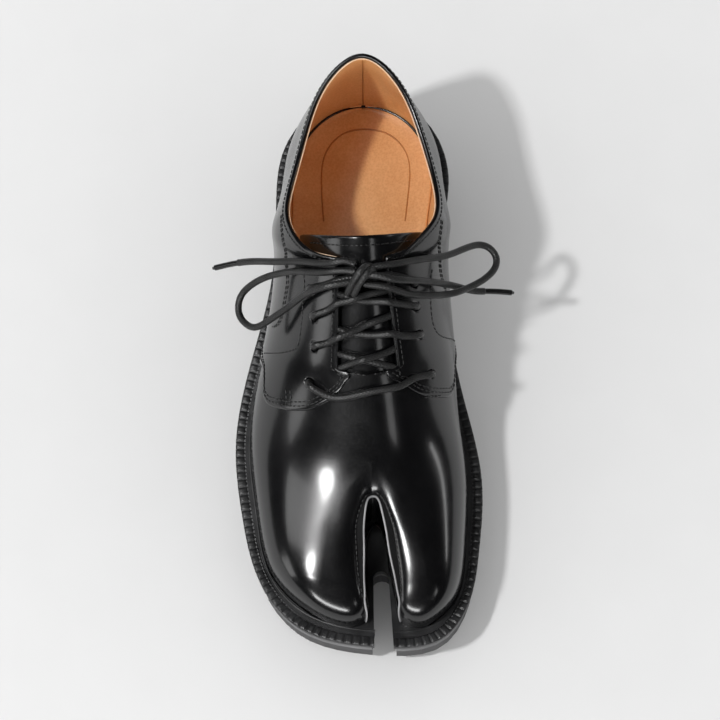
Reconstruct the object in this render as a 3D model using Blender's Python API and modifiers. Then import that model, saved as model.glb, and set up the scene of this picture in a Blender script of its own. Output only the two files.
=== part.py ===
"""Split-toe lace-up derby shoe for the right foot, standing empty on its sole.

The toe points to -Y, the inner (medial) side to +X, and the floor is z = 0. Sizes in the tables and
formulas are millimetres; every mesh is scaled to metres as it is made.
"""
import math

import bmesh
import bpy
import numpy as np

MM = 0.001
SEAT_GAP = 0.3            # clearance where two pieces meet
WELT_GAP = 0.5            # clearance between the welt and the curved foot of the upper

# Sole stack
FOREFOOT_HEIGHT = 18.0    # welt top above the floor at the ball
HEEL_LIFT = 12.0          # how much higher the welt top lies at the heel
TOE_SPRING = 7.0          # rise of the sole under the tip of the toe
SPRING_START = -68.0      # the sole leaves the floor forward of this place
LIFT_START = -28.0        # the seat climbs from here
LIFT_END = 68.0           # to here
WELT_THICKNESS = 3.5
WELT_LEDGE = 1.1          # outer band of the welt lies this much below its inner strip
WELT_LEDGE_WIDTH = 4.3
MIDSOLE_THICKNESS = 5.2
MIDSOLE_INSET_TOP = 2.2   # its side slopes out from under the welt
MIDSOLE_INSET_LOW = 0.7
OUTSOLE_INSET = 1.2
WAIST_THICKNESS = 4.2     # outsole through the arch and over the heel
ARCH_FRONT = -6.0
ARCH_BACK = 22.0
HEEL_BREAST = 63.0
HEEL_INSET = 2.2

# Upper
WALL = 1.8                # leather and lining together
QUARTER_STEP = 1.2        # the quarters stand this much proud of the vamp
INSOLE_THICKNESS = 3.0
INSOLE_CLEARANCE = 2.0    # round the insole's edge
TONGUE_THICKNESS = 1.8
TONGUE_CLEARANCE = 0.6
EYELET_DIAMETER = 4.4

# Outer edge of the welt: place, across, along, width of welt that shows
SOLE_OUTLINE = (
    ("heel back", 1.0, 128.0, 5.5),
    ("heel corner lateral", -22.0, 119.3, 5.8),
    ("heel lateral", -34.6, 100.5, 6.0),
    ("breast lateral", -37.4, 75.0, 6.0),
    ("waist lateral", -38.6, 42.0, 6.0),
    ("joint lateral", -46.9, 6.5, 6.6),
    ("ball lateral", -53.8, -32.0, 7.0),
    ("toe root lateral", -50.4, -67.0, 7.2),
    ("toe lateral", -42.2, -97.0, 6.0),
    ("toe corner lateral", -25.6, -118.3, 8.0),
    ("toe front", 9.0, -128.0, 8.2),
    ("toe corner medial", 37.6, -123.4, 8.0),
    ("toe medial", 48.2, -107.5, 5.8),
    ("toe root medial", 52.9, -82.0, 6.4),
    ("ball medial", 54.0, -50.0, 7.0),
    ("joint medial", 44.6, -6.5, 6.4),
    ("waist medial", 38.4, 30.0, 5.2),
    ("breast medial", 36.9, 64.0, 5.8),
    ("heel medial", 39.2, 88.0, 6.0),
    ("heel corner medial", 26.2, 118.0, 5.8),
)

# Foot of the upper round the cleft: place, across, along
CLEFT = (
    ("lobe front lateral", -8.0, -118.4),
    ("lobe corner lateral", 1.8, -117.4),
    ("wall end lateral", 4.6, -113.0),
    ("wall front lateral", 4.4, -104.0),
    ("wall lateral", 3.9, -88.0),
    ("crotch lateral", 4.4, -74.8),
    ("crotch", 7.8, -70.4),
    ("crotch medial", 11.3, -74.8),
    ("wall medial", 13.8, -90.0),
    ("wall front medial", 16.8, -105.0),
    ("wall end medial", 18.8, -112.6),
    ("lobe corner medial", 22.2, -117.2),
    ("lobe front medial", 30.4, -118.6),
)
CLEFT_REPLACES = "toe front"

# Slot through the sole: place along, middle across, half width
SLOT = (
    (-150.0, 12.3, 4.4),
    (-128.0, 12.0, 4.2),
    (-96.0, 10.4, 3.4),
)
SLOT_UNDERCUT = 1.0       # midsole and outsole are cut back this much more

# Top edge of the collar from behind the lateral facing round the heel: across, along, up
COLLAR = (
    (-15.7, 27.0, 90.3),
    (-25.0, 36.8, 85.4),
    (-29.6, 50.0, 79.4),
    (-28.8, 70.0, 75.2),
    (-24.6, 91.0, 77.4),
    (-14.0, 111.8, 83.6),
    (2.0, 121.0, 87.6),
    (17.4, 112.0, 83.2),
    (29.2, 91.0, 76.8),
    (34.2, 70.0, 74.6),
    (33.6, 49.0, 79.6),
    (26.6, 36.4, 86.0),
    (18.6, 27.4, 90.3),
)
COLLAR_HEEL = 7           # place of the heel's row once the facing top is counted in front of COLLAR
COLLAR_ANKLE = (4.0, 10.0)          # rows that stand over the two ankle stations
COLLAR_SIDE = (2.8, 11.2)           # and over the two collar front stations
FACING_LATERAL = ((-6.5, 21.4), (-7.4, -20.0))     # edge of each facing in plan: across and along of its ends
FACING_MEDIAL = ((12.6, 21.4), (17.9, -20.0))

# Crest of the vamp, running on up the instep over the open throat: across, along, up
INSTEP = (3.2, 23.4, 94.6)
THROAT = (5.3, -20.8, 70.6)         # middle of the edge that the tongue is sewn to
CREST_HANDLE = (6.2, -38.0, 61.2)
FORK = (6.8, -54.0, 52.6)           # where the crest divides
BRANCH_LATERAL = ((-1.0, -61.0, 48.9), (-15.0, -78.0, 48.2), (-14.5, -103.0, 40.6))
BRANCH_MEDIAL = ((14.6, -61.0, 48.9), (28.4, -80.0, 48.8), (30.6, -104.0, 41.0))
FORK_EASE = 0.6           # share of a branch over which its slope across eases from the fork's to level

# Stations round the upper, lateral side first. Columns: place, edge of the sole it stands on, place
# along that edge, then the Bezier rib: rise of its lower handle as a share of the height, its outward
# lean in degrees, reach of its upper handle as a share of the span, and heading and dip in degrees of
# the upper handle where the top is an open edge
STATIONS = (
    ("heel back", "lateral", 122.3, 0.40, 8.0, 0.40, 90.0, 80.0),
    ("ankle lateral", "lateral", 80.0, 0.42, 9.0, 0.42, 182.0, 76.0),
    ("collar front lateral", "lateral", 58.0, 0.42, 16.0, 0.46, 184.0, 60.0),
    ("facing top lateral", "lateral", 44.0, 0.42, 25.0, 0.68, None, None),
    ("facing foot lateral", "lateral", 4.0, 0.45, 15.0, 0.65, None, None),
    ("throat lateral", "lateral", -4.0, 0.46, 14.0, 0.65, None, None),
    ("fork lateral", "lateral", -37.0, 0.54, 12.0, 0.62, None, None),
    ("pole outer lateral", "lateral", -100.0, 0.66, 8.0, 0.66, None, None),
    ("pole front lateral", "lateral", -118.2, 0.68, 6.0, 0.66, None, None),
    ("pole inner lateral", "lateral wall", -106.0, 0.86, 1.0, 0.86, None, None),
    ("wall lateral", "lateral wall", -81.0, 0.86, -2.0, 0.82, None, None),
    ("crotch", "lateral wall", -70.6, 0.82, -6.0, 0.58, None, None),
    ("wall medial", "medial wall", -81.0, 0.86, -2.0, 0.82, None, None),
    ("pole inner medial", "medial wall", -106.0, 0.86, 1.0, 0.84, None, None),
    ("pole front medial", "medial", -118.3, 0.68, 6.0, 0.66, None, None),
    ("pole outer medial", "medial", -102.0, 0.66, 8.0, 0.66, None, None),
    ("fork medial", "medial", -35.0, 0.54, 18.0, 0.65, None, None),
    ("throat medial", "medial", -2.0, 0.46, 42.0, 0.80, None, None),
    ("facing foot medial", "medial", 8.0, 0.45, 44.0, 0.81, None, None),
    ("facing top medial", "medial", 46.0, 0.42, 40.0, 0.82, None, None),
    ("collar front medial", "medial", 60.0, 0.42, 25.0, 0.50, 356.0, 60.0),
    ("ankle medial", "medial", 82.0, 0.42, 11.0, 0.42, 358.0, 76.0),
)
WALL_SHARE = 0.5          # the wall stations stand this far along a branch
CORNER_SHARE = 0.97       # the facings' lower corners stand this far down the instep
VAMP_SHARE = 1.75         # and the fork this far, counted on past the throat

# Ribs between one station and the next, in the order of STATIONS
RIBS = (8, 4, 5, 6, 2, 5, 10, 4, 4, 5, 5, 5, 5, 4, 4, 10, 5, 2, 6, 5, 4, 8)
ROWS = (0.0, 0.125, 0.25, 0.375, 0.5, 0.625, 0.75, 0.875, 0.94, 1.0)    # heights on each rib

# Front edge of a quarter: height on the rib, station on the lateral and on the medial side
QUARTER_EDGE = (
    (0.00, 3.95, 3.90),
    (0.18, 4.40, 4.30),
    (0.32, 4.95, 4.90),
    (0.38, 5.44, 5.38),
    (0.44, 5.50, 5.43),
    (0.56, 5.49, 5.38),
    (0.68, 5.44, 5.30),
    (0.78, 5.32, 5.16),
    (0.87, 5.14, 5.02),
    (1.00, 4.30, 4.30),
)
QUARTER_COLUMNS = 5       # columns between the last straight rib and a quarter's front edge
EDGE_WIDTH = 0.025        # stations across which the step falls
VAMP_COLUMNS = (2, 3)     # columns from there to the throat's middle, and on to the fork

# Eyelets from the top pair down: station and height on the lateral rib, then on the medial rib
EYELETS = (
    (3.29, 0.80, 3.25, 0.81),
    (3.55, 0.82, 3.49, 0.81),
    (3.82, 0.83, 3.75, 0.80),
    (5.08, 0.71, 5.04, 0.63),
)

# Tongue, from under the throat seam to its top edge: share down the instep at the middle, past 1 where it
# runs on under the vamp, how much further up its wings reach, and the height on the rib of its side edges
TONGUE_LOW = 1.13
TONGUE_HIGH = -0.17
TONGUE_WINGS = 0.07
TONGUE_EDGE = 0.52
TONGUE_ROWS = 15
TONGUE_COLUMNS = 12

# Lace. Each route is a row of points on the cord's middle line: across, along, up
LACE_DIAMETER = 3.0
LACE_STEP = 2.8           # diameters between the points of a tube
LACE_BAR = (
    (-21.4, -21.3, 65.0), (-16.2, -26.8, 66.8), (-10.1, -29.4, 66.2), (0.3, -29.2, 68.5), (10.2, -27.2, 69.2),
    (20.4, -24.2, 68.0), (26.2, -20.2, 66.0), (31.6, -15.8, 63.6),
)
CROSSINGS = {
    "lace_cross_low": (
        ((-4.6, -16.9, 71.0), (4.1, -14.9, 73.7), (14.2, -11.2, 73.4)),
        ((-4.2, -13.1, 73.4), (4.6, -15.3, 73.5), (14.0, -16.7, 70.8)),
    ),
    "lace_cross_middle": (
        ((-19.0, -7.8, 72.2), (-12.4, -8.4, 76.8), (-7.8, -7.5, 80.8), (-2.4, -5.1, 80.2), (2.7, -2.7, 80.4),
         (12.4, 1.5, 80.7)),
        ((27.0, -3.2, 72.0), (19.9, -5.6, 78.2), (16.2, -5.7, 80.8), (11.2, -5.9, 80.2), (2.4, -5.3, 78.9),
         (-4.6, -3.8, 78.3)),
    ),
    "lace_cross_top": (
        ((-17.4, 2.2, 78.6), (-12.9, 3.9, 83.0), (-8.0, 5.8, 86.8), (-2.4, 7.3, 86.4), (1.8, 8.8, 86.6),
         (10.8, 11.2, 86.6)),
        ((25.0, 8.4, 78.8), (18.6, 6.7, 84.5), (14.9, 6.4, 87.2), (10.2, 6.9, 86.4), (1.9, 7.4, 85.9),
         (-4.0, 9.4, 85.9)),
    ),
}
LACE_TIES = {
    "lace_tie_lateral": ((-19.8, 15.4, 80.4), (-13.9, 14.0, 87.2), (-8.8, 14.2, 91.4), (-5.0, 15.0, 91.8)),
    "lace_tie_medial": ((24.2, 18.6, 84.6), (17.7, 16.9, 90.4), (13.5, 16.6, 92.6), (9.4, 16.5, 91.6)),
}
KNOT_MIDDLE = (2.3, 15.6, 91.8)
KNOT_SIZE = (11.0, 10.0, 6.4)       # across, along the instep, through
KNOT_TILT = 28.5                    # slope of the instep in degrees
LACE_LOOPS = {
    "lace_loop_lateral": (
        (-5.6, 18.0, 94.2), (-12.7, 18.1, 91.6), (-21.6, 21.4, 84.2), (-28.2, 24.0, 77.5), (-35.0, 25.7, 70.0),
        (-41.9, 26.0, 63.0), (-47.5, 24.7, 57.0), (-51.1, 22.1, 53.0), (-52.1, 18.7, 51.0), (-51.5, 13.6, 50.5),
        (-48.4, 9.4, 52.0), (-44.9, 6.6, 54.5), (-41.3, 6.7, 58.0), (-35.0, 8.6, 64.5), (-28.2, 10.8, 71.5),
        (-21.7, 11.8, 81.8), (-14.7, 11.2, 91.0), (-8.4, 11.8, 93.8), (-4.8, 12.4, 93.8),
    ),
    "lace_loop_medial": (
        (8.6, 19.8, 94.2), (12.4, 20.4, 94.0), (18.8, 22.0, 92.4), (25.4, 25.3, 87.5), (32.0, 28.8, 81.0),
        (39.2, 33.1, 73.5), (43.5, 36.2, 69.0), (50.7, 41.0, 62.0), (55.1, 43.5, 58.5), (59.0, 42.9, 56.0),
        (60.5, 40.4, 55.0), (59.5, 36.8, 55.5), (57.5, 32.0, 57.0), (53.7, 26.9, 60.0), (48.3, 21.8, 64.5),
        (43.5, 18.1, 68.0), (36.8, 15.3, 72.0), (29.9, 13.0, 78.0), (23.0, 11.2, 83.6), (16.4, 11.4, 89.4),
        (12.4, 12.0, 91.4), (8.8, 12.2, 91.4),
    ),
}
LACE_ENDS = {
    "lateral": ((-5.0, 21.6, 96.2), (-9.2, 21.4, 94.8), (-17.2, 23.3, 89.6), (-23.6, 25.9, 84.6), (-34.9, 29.8, 74.5),
                (-48.5, 34.6, 62.0), (-63.3, 35.9, 51.0)),
    "medial": ((8.6, 15.2, 95.6), (16.5, 13.9, 94.6), (25.4, 15.9, 88.0), (34.4, 19.4, 76.5), (43.5, 22.2, 64.0),
               (50.7, 23.4, 56.0), (57.5, 24.7, 52.0), (67.8, 26.1, 46.5)),
}
TIP_LENGTH = 14.0
TIP_DIAMETER = 2.4

# Tread
LUG_PITCH = 12.0
LUG_GROOVE = 3.2
LUG_DEPTH = 3.4
FOREFOOT_GROOVES = 8
FIRST_GROOVE = -111.0
HEEL_GROOVES = (76.0, 88.0, 100.0)
HEEL_GROOVE_WIDTH = 4.0

LOFT_STATIONS = np.linspace(-123.0, 123.0, 25)


class Spline:
    """Smooth cubic curve through rows of numbers, spaced by chord length, open or closed."""

    def __init__(self, rows, closed=False):
        rows = np.asarray(rows, float)
        if closed:
            rows = np.vstack([rows, rows[:1]])
        steps = np.linalg.norm(np.diff(rows[:, :2], axis=0), axis=1)
        self.rows = rows
        self.steps = steps
        self.knots = np.concatenate([[0.0], np.cumsum(steps)])
        self.slopes = self._solve_slopes(closed)

    def _solve_slopes(self, closed):
        rows, h = self.rows, self.steps
        count = len(rows)
        system = np.zeros((count, count))
        right = np.zeros_like(rows)
        for i in range(1, count - 1):
            system[i, i - 1:i + 2] = 1 / h[i - 1], 2 / h[i - 1] + 2 / h[i], 1 / h[i]
            right[i] = 3 * (rows[i] - rows[i - 1]) / h[i - 1] ** 2 + 3 * (rows[i + 1] - rows[i]) / h[i] ** 2
        if closed:
            system[0, [-2, 0, 1]] = 1 / h[-1], 2 / h[-1] + 2 / h[0], 1 / h[0]
            right[0] = 3 * (rows[0] - rows[-2]) / h[-1] ** 2 + 3 * (rows[1] - rows[0]) / h[0] ** 2
            system[-1, [0, -1]] = 1, -1
        else:
            system[0, :2] = 2, 1
            right[0] = 3 * (rows[1] - rows[0]) / h[0]
            system[-1, -2:] = 1, 2
            right[-1] = 3 * (rows[-1] - rows[-2]) / h[-1]
        return np.linalg.solve(system, right)

    def at(self, knot):
        """Rows at distances along the knots."""
        knot = np.asarray(knot, float)
        i = np.clip(np.searchsorted(self.knots, knot, side="right") - 1, 0, len(self.steps) - 1)
        h = self.steps[i]
        f = (knot - self.knots[i]) / h
        h, f = h[..., None], f[..., None]
        return ((2 * f ** 3 - 3 * f ** 2 + 1) * self.rows[i] + (f ** 3 - 2 * f ** 2 + f) * h * self.slopes[i]
                + (3 * f ** 2 - 2 * f ** 3) * self.rows[i + 1] + (f ** 3 - f ** 2) * h * self.slopes[i + 1])

    def slope(self, knot):
        """Change of the rows per unit of knot distance."""
        return (self.at(knot + 0.01) - self.at(knot - 0.01)) / 0.02


def steady_curve(knots, values, where):
    """Cubic through values at whole-number knots that never swings past them."""
    knots, values = np.asarray(knots, float), np.asarray(values, float)
    rise = np.diff(values) / np.diff(knots)
    slopes = np.concatenate([[rise[0]], np.zeros(len(rise) - 1), [rise[-1]]])
    same = rise[:-1] * rise[1:] > 0
    slopes[1:-1][same] = 2 * rise[:-1][same] * rise[1:][same] / (rise[:-1][same] + rise[1:][same])
    i = np.clip(np.searchsorted(knots, where, side="right") - 1, 0, len(rise) - 1)
    h = knots[i + 1] - knots[i]
    f = (where - knots[i]) / h
    return ((2 * f ** 3 - 3 * f ** 2 + 1) * values[i] + (f ** 3 - 2 * f ** 2 + f) * h * slopes[i]
            + (3 * f ** 2 - 2 * f ** 3) * values[i + 1] + (f ** 3 - f ** 2) * h * slopes[i + 1])


def bezier(points, t):
    """Cubic Bezier; points has four rows of control points, t runs from 0 to 1."""
    a, b, c, d = (np.asarray(p, float) for p in points)
    t = np.asarray(t, float)[..., None]
    return a * (1 - t) ** 3 + 3 * b * t * (1 - t) ** 2 + 3 * c * t ** 2 * (1 - t) + d * t ** 3


def smooth_ramp(value, start, end):
    """0 before start, 1 after end, eased between."""
    f = np.clip((np.asarray(value, float) - start) / (end - start), 0.0, 1.0)
    return f * f * (3 - 2 * f)


def toe_rise(y):
    """Height of the tread above the floor, from the toe spring alone."""
    return TOE_SPRING * np.clip((SPRING_START - np.asarray(y, float)) / (SPRING_START + 128.0), 0.0, None) ** 2


def welt_top(y):
    """Height of the welt's inner strip, the line where the upper leaves the sole."""
    return FOREFOOT_HEIGHT + toe_rise(y) + HEEL_LIFT * smooth_ramp(y, LIFT_START, LIFT_END)


def welt_low(y):
    return welt_top(y) - WELT_THICKNESS


def midsole_top(y):
    return welt_low(y) - SEAT_GAP


def midsole_low(y):
    return midsole_top(y) - MIDSOLE_THICKNESS


def outsole_top(y):
    return midsole_low(y) - SEAT_GAP


def outsole_low(y):
    """Tread at the forefoot, a thin layer through the arch and over the heel block."""
    arch = smooth_ramp(y, ARCH_FRONT, ARCH_BACK)
    return (1 - arch) * toe_rise(y) + arch * (outsole_top(y) - WAIST_THICKNESS)


def heel_top(y):
    return outsole_low(y) - SEAT_GAP


def floor_level(y):
    return np.zeros_like(np.asarray(y, float))


def outward(curve, knot):
    """Outward unit normals in plan of a closed curve that runs anticlockwise."""
    slope = curve.slope(knot)[..., :2]
    normal = np.stack([slope[..., 1], -slope[..., 0]], axis=-1)
    return normal / np.linalg.norm(normal, axis=-1, keepdims=True)


SOLE_CURVE = Spline([row[1:] for row in SOLE_OUTLINE], closed=True)


def sole_ring(inset, count=88):
    """Points of the sole outline drawn in by an inset."""
    knot = np.linspace(0.0, SOLE_CURVE.knots[-1], count, endpoint=False)
    return SOLE_CURVE.at(knot)[:, :2] - inset * outward(SOLE_CURVE, knot)


def feather_rows():
    """Foot of the upper: the outline drawn in by the welt's width, with the cleft in place of the toe front."""
    rows = []
    for place, knot in zip(SOLE_OUTLINE, SOLE_CURVE.knots):
        if place[0] == CLEFT_REPLACES:
            rows += [row[1:] for row in CLEFT]
        else:
            rows.append(tuple(np.array(place[1:3]) - place[3] * outward(SOLE_CURVE, knot)))
    return rows


FEATHER = Spline(feather_rows(), closed=True)
FIRST_CLEFT = [row[0] for row in SOLE_OUTLINE].index(CLEFT_REPLACES)
CROTCH_ROW = FIRST_CLEFT + [row[0] for row in CLEFT].index("crotch")
LAST_CLEFT = FIRST_CLEFT + len(CLEFT) - 1


def feather_runs():
    """Stretches of the feather line along which the place changes one way only."""
    ends = {"lateral": (0, FIRST_CLEFT), "lateral wall": (FIRST_CLEFT, CROTCH_ROW),
            "medial wall": (CROTCH_ROW, LAST_CLEFT), "medial": (LAST_CLEFT, len(FEATHER.knots) - 1)}
    runs = {}
    for name, (first, last) in ends.items():
        knot = np.linspace(FEATHER.knots[first], FEATHER.knots[last], 400)
        runs[name] = (knot, FEATHER.at(knot)[:, 1])
    return runs


def station_feet():
    """Knot on the feather line under each station, and the closing one."""
    runs = feather_runs()
    feet = []
    for _, run, along, *_ in STATIONS:
        knot, y = runs[run]
        order = np.argsort(y)
        feet.append(float(np.interp(along, y[order], knot[order])))
    feet[0] = 0.0
    feet.append(FEATHER.knots[-1])
    return np.array(feet)


FEET = station_feet()
S = {row[0]: i for i, row in enumerate(STATIONS)}
ROUND = len(STATIONS)


def crest(name, w):
    """Crest of the vamp: over the instep, from throat to fork, or a branch from the fork to its pole."""
    if name == "instep":
        w = np.asarray(w, float)[..., None]
        return np.array(INSTEP) * (1 - w) + np.array(THROAT) * w
    if name == "middle":
        throat, handle, fork = (np.array(p) for p in (THROAT, CREST_HANDLE, FORK))
        return bezier((throat, (throat + 2 * handle) / 3, (fork + 2 * handle) / 3, fork), w)
    branch = BRANCH_LATERAL if name == "lateral" else BRANCH_MEDIAL
    return bezier((FORK, *branch), w)


def crest_frame(name, w):
    """Level unit direction along a crest towards the toe, the level direction to its lateral side, and the normal."""
    along = crest(name, np.clip(w + 0.01, -1, 1)) - crest(name, np.clip(w - 0.01, -1, 1))
    side = np.stack([along[..., 1], -along[..., 0], np.zeros(along.shape[:-1])], axis=-1)
    side /= np.linalg.norm(side, axis=-1, keepdims=True)
    ahead = np.stack([-side[..., 1], side[..., 0], np.zeros(along.shape[:-1])], axis=-1)
    normal = np.cross(side, along)
    normal /= np.linalg.norm(normal, axis=-1, keepdims=True)
    if name in ("lateral", "medial"):
        ease = smooth_ramp(w, 0.0, FORK_EASE)[..., None]
        normal = normal * ease + crest_frame("middle", np.array(1.0))[2] * (1 - ease)
    return ahead, side, normal


def swing(name):
    """Degrees by which a branch leaves the fork towards the lateral side of the middle crest."""
    before, after = crest_frame("middle", np.array(1.0))[0], crest_frame(name, np.array(0.0))[0]
    return math.degrees(math.atan2(-after[0], -after[1]) - math.atan2(-before[0], -before[1]))


LATERAL_SWING = swing("lateral")
MEDIAL_SWING = swing("medial")

# Closed top of the upper: crest, its two end stations, share along the crest at each end, and the turn
# of the upper handle from the crest's direction, in degrees towards the lateral side; None points it at
# the foot of its rib
CREST_STRETCHES = (
    ("instep", "facing top lateral", "facing foot lateral", 0.0, CORNER_SHARE, 90.0, 90.0),
    ("instep", "facing foot lateral", "throat lateral", CORNER_SHARE, 1.0, 90.0, 90.0),
    ("middle", "throat lateral", "fork lateral", 0.0, 1.0, 90.0, 90.0),
    ("lateral", "fork lateral", "pole outer lateral", 0.0, 1.0, 90.0 - LATERAL_SWING, 90.0),
    ("lateral", "pole outer lateral", "pole front lateral", 1.0, 1.0, None, None),
    ("lateral", "pole front lateral", "pole inner lateral", 1.0, 1.0, None, None),
    ("lateral", "pole inner lateral", "wall lateral", 1.0, WALL_SHARE, None, None),
    ("lateral", "wall lateral", "crotch", WALL_SHARE, 0.0, None, None),
    ("medial", "crotch", "wall medial", 0.0, WALL_SHARE, None, None),
    ("medial", "wall medial", "pole inner medial", WALL_SHARE, 1.0, None, None),
    ("medial", "pole inner medial", "pole front medial", 1.0, 1.0, None, None),
    ("medial", "pole front medial", "pole outer medial", 1.0, 1.0, None, None),
    ("medial", "pole outer medial", "fork medial", 1.0, 0.0, -90.0, -90.0 - MEDIAL_SWING),
    ("middle", "fork medial", "throat medial", 1.0, 0.0, -90.0, -90.0),
    ("instep", "throat medial", "facing foot medial", 1.0, CORNER_SHARE, -90.0, -90.0),
    ("instep", "facing foot medial", "facing top medial", CORNER_SHARE, 0.0, -90.0, -90.0),
)


def station_column(column, q):
    values = [row[column] for row in STATIONS]
    return steady_curve(np.arange(ROUND + 1), values + values[:1], q)


def rib_feet(q):
    """Knot on the feather line and the point on the welt's top where each rib starts."""
    knot = steady_curve(np.arange(ROUND + 1), FEET, q)
    plan = FEATHER.at(knot)[..., :2]
    return knot, np.concatenate([plan, welt_top(plan[..., 1])[..., None]], axis=-1)


def rib_handles(q, top, over, rise_share, reach_share):
    """Bezier control points of ribs that end at top, arriving against the direction over."""
    knot, start = rib_feet(q)
    lean = np.radians(station_column(4, q))[..., None]
    rise = (rise_share * (top - start)[..., 2])[..., None]
    reach = (reach_share * np.sum((start - top) * over, axis=-1))[..., None]
    upright = np.concatenate([outward(FEATHER, knot) * np.sin(lean), np.cos(lean)], axis=-1)
    return start, start + upright * rise, top + over * reach, top


def crest_ribs(q):
    """Ribs that run up to a crest, the instep's among them; a little way past its stations too."""
    _, start = rib_feet(q)
    top = np.zeros(q.shape + (3,))
    over = np.zeros(q.shape + (3,))
    for name, first, last, share0, share1, turn0, turn1 in CREST_STRETCHES:
        begin = -math.inf if first == "facing top lateral" else S[first]
        end = math.inf if last == "facing top medial" else S[last]
        inside = ((q >= begin) & (q < end))[..., None]
        f = q - S[first]
        share = np.clip(share0 + (share1 - share0) * f, -1.0, 1.0)
        ahead, side, normal = crest_frame(name, share)
        if turn0 is None:
            run = start - crest(name, share)
            turn = np.arctan2(np.sum(run * side, axis=-1), np.sum(run * ahead, axis=-1))[..., None]
        else:
            turn = np.radians(turn0 + (turn1 - turn0) * f)[..., None]
        level = ahead * np.cos(turn) + side * np.sin(turn)
        slope = -np.sum(level * normal, axis=-1) / normal[..., 2]
        level[..., 2] = slope
        top = np.where(inside, crest(name, share), top)
        over = np.where(inside, level / np.linalg.norm(level, axis=-1, keepdims=True), over)
    return rib_handles(q, top, over, station_column(3, q), station_column(5, q))


def shorten(controls, share):
    """Control points of the first share of a Bezier curve."""
    a, b, c, d = controls
    f = share[..., None]
    ab, bc, cd = a + (b - a) * f, b + (c - b) * f, c + (d - c) * f
    abc, bcd = ab + (bc - ab) * f, bc + (cd - bc) * f
    return a, ab, abc, abc + (bcd - abc) * f


def edge_share(q):
    """Share of a crest rib that lies outside the edge of its facing."""
    controls = crest_ribs(q)
    low, high = np.full(q.shape, 0.5), np.ones(q.shape)
    for _ in range(30):
        middle = (low + high) / 2
        point = bezier(controls, middle)
        lateral, medial = (np.interp(point[..., 1], *zip(*((b[1], b[0]) for b in sorted(edge, key=lambda e: e[1]))))
                           for edge in (FACING_LATERAL, FACING_MEDIAL))
        outside = np.where(q < S["crotch"], point[..., 0] < lateral, point[..., 0] > medial)
        low, high = np.where(outside, middle, low), np.where(outside, high, middle)
    return low


CORNER_LATERAL = float(edge_share(np.array(float(S["facing foot lateral"]))))
CORNER_MEDIAL = float(edge_share(np.array(float(S["facing foot medial"]))))


def leather_share(q):
    """Share of a crest rib that is leather: all of it but where the throat is open."""
    marks = [S["facing foot lateral"], S["throat lateral"], S["throat medial"], S["facing foot medial"]]
    throat = np.interp(q, marks, [CORNER_LATERAL, 1.0, 1.0, CORNER_MEDIAL])
    return np.where((q < marks[0]) | (q > marks[-1]), edge_share(q), throat)


def collar_stations():
    """Station values with those of the two facing tops read from the trimmed crest ribs, and their points."""
    columns = {c: [row[c] for row in STATIONS] for c in (3, 5, 6, 7)}
    ends = []
    for name in ("facing top lateral", "facing top medial"):
        q = np.array(float(S[name]))
        start, lower, upper, top = shorten(crest_ribs(q), edge_share(q))
        over = (upper - top) / np.linalg.norm(upper - top)
        columns[3][S[name]] = float((lower - start)[2] / (top - start)[2] / math.cos(math.radians(STATIONS[S[name]][4])))
        columns[5][S[name]] = float(np.linalg.norm(upper - top) / np.dot(start - top, over))
        columns[6][S[name]] = math.degrees(math.atan2(over[1], over[0])) % 360.0
        columns[7][S[name]] = math.degrees(-math.asin(over[2]))
        ends.append(top)
    if columns[6][S["facing top medial"]] < 180.0:
        columns[6][S["facing top medial"]] += 360.0
    return columns, ends


COLLAR_VALUES, FACING_TOPS = collar_stations()
COLLAR_CURVE = Spline([FACING_TOPS[0], *COLLAR, FACING_TOPS[1]])


def collar_knot(row):
    return float(np.interp(row, np.arange(len(COLLAR_CURVE.rows)), COLLAR_CURVE.knots))


def collar_edge(q):
    """Point of the collar's top edge at a station."""
    lateral_rows = [COLLAR_HEEL, COLLAR_ANKLE[0], COLLAR_SIDE[0], 0]
    medial_rows = [len(COLLAR) + 1, COLLAR_SIDE[1], COLLAR_ANKLE[1], COLLAR_HEEL]
    first = S["facing top medial"]
    lateral = steady_curve(range(4), [collar_knot(r) for r in lateral_rows], np.clip(q, 0, 3))
    medial = steady_curve(range(first, first + 4), [collar_knot(r) for r in medial_rows], np.clip(q, first, first + 3))
    return COLLAR_CURVE.at(np.where(q < S["crotch"], lateral, medial))


def collar_column(column, q, turn=0.0):
    """A station value along the collar alone, read down each side of it."""
    values = COLLAR_VALUES[column]
    first = S["facing top medial"]
    lateral = steady_curve(range(4), values[:4], np.clip(q, 0, 3))
    medial = steady_curve(range(first, first + 4), values[first:] + [values[0] + turn], np.clip(q, first, first + 3))
    return np.where(q < S["crotch"], lateral, medial)


def collar_ribs(q):
    """Ribs that end at the collar."""
    heading = np.radians(collar_column(6, q, turn=360.0))
    dip = np.radians(collar_column(7, q))
    over = np.stack([np.cos(heading) * np.cos(dip), np.sin(heading) * np.cos(dip), -np.sin(dip)], axis=-1)
    return rib_handles(q, collar_edge(q), over, collar_column(3, q), collar_column(5, q))


def ribs(q):
    """Bezier control points of the upper's ribs at stations q."""
    q = np.mod(np.asarray(q, float), ROUND)
    closed = shorten(crest_ribs(q), leather_share(q))
    on_collar = ((q < S["facing top lateral"]) | (q > S["facing top medial"]))[..., None]
    return [np.where(on_collar, edge, top) for edge, top in zip(collar_ribs(q), closed)]


def upper_surface(q, t):
    """Outer face of the upper at stations q and heights t, 0 at the welt and 1 at the top edge or crest."""
    q, t = np.broadcast_arrays(np.asarray(q, float), np.asarray(t, float))
    return bezier(ribs(q), t)


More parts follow.
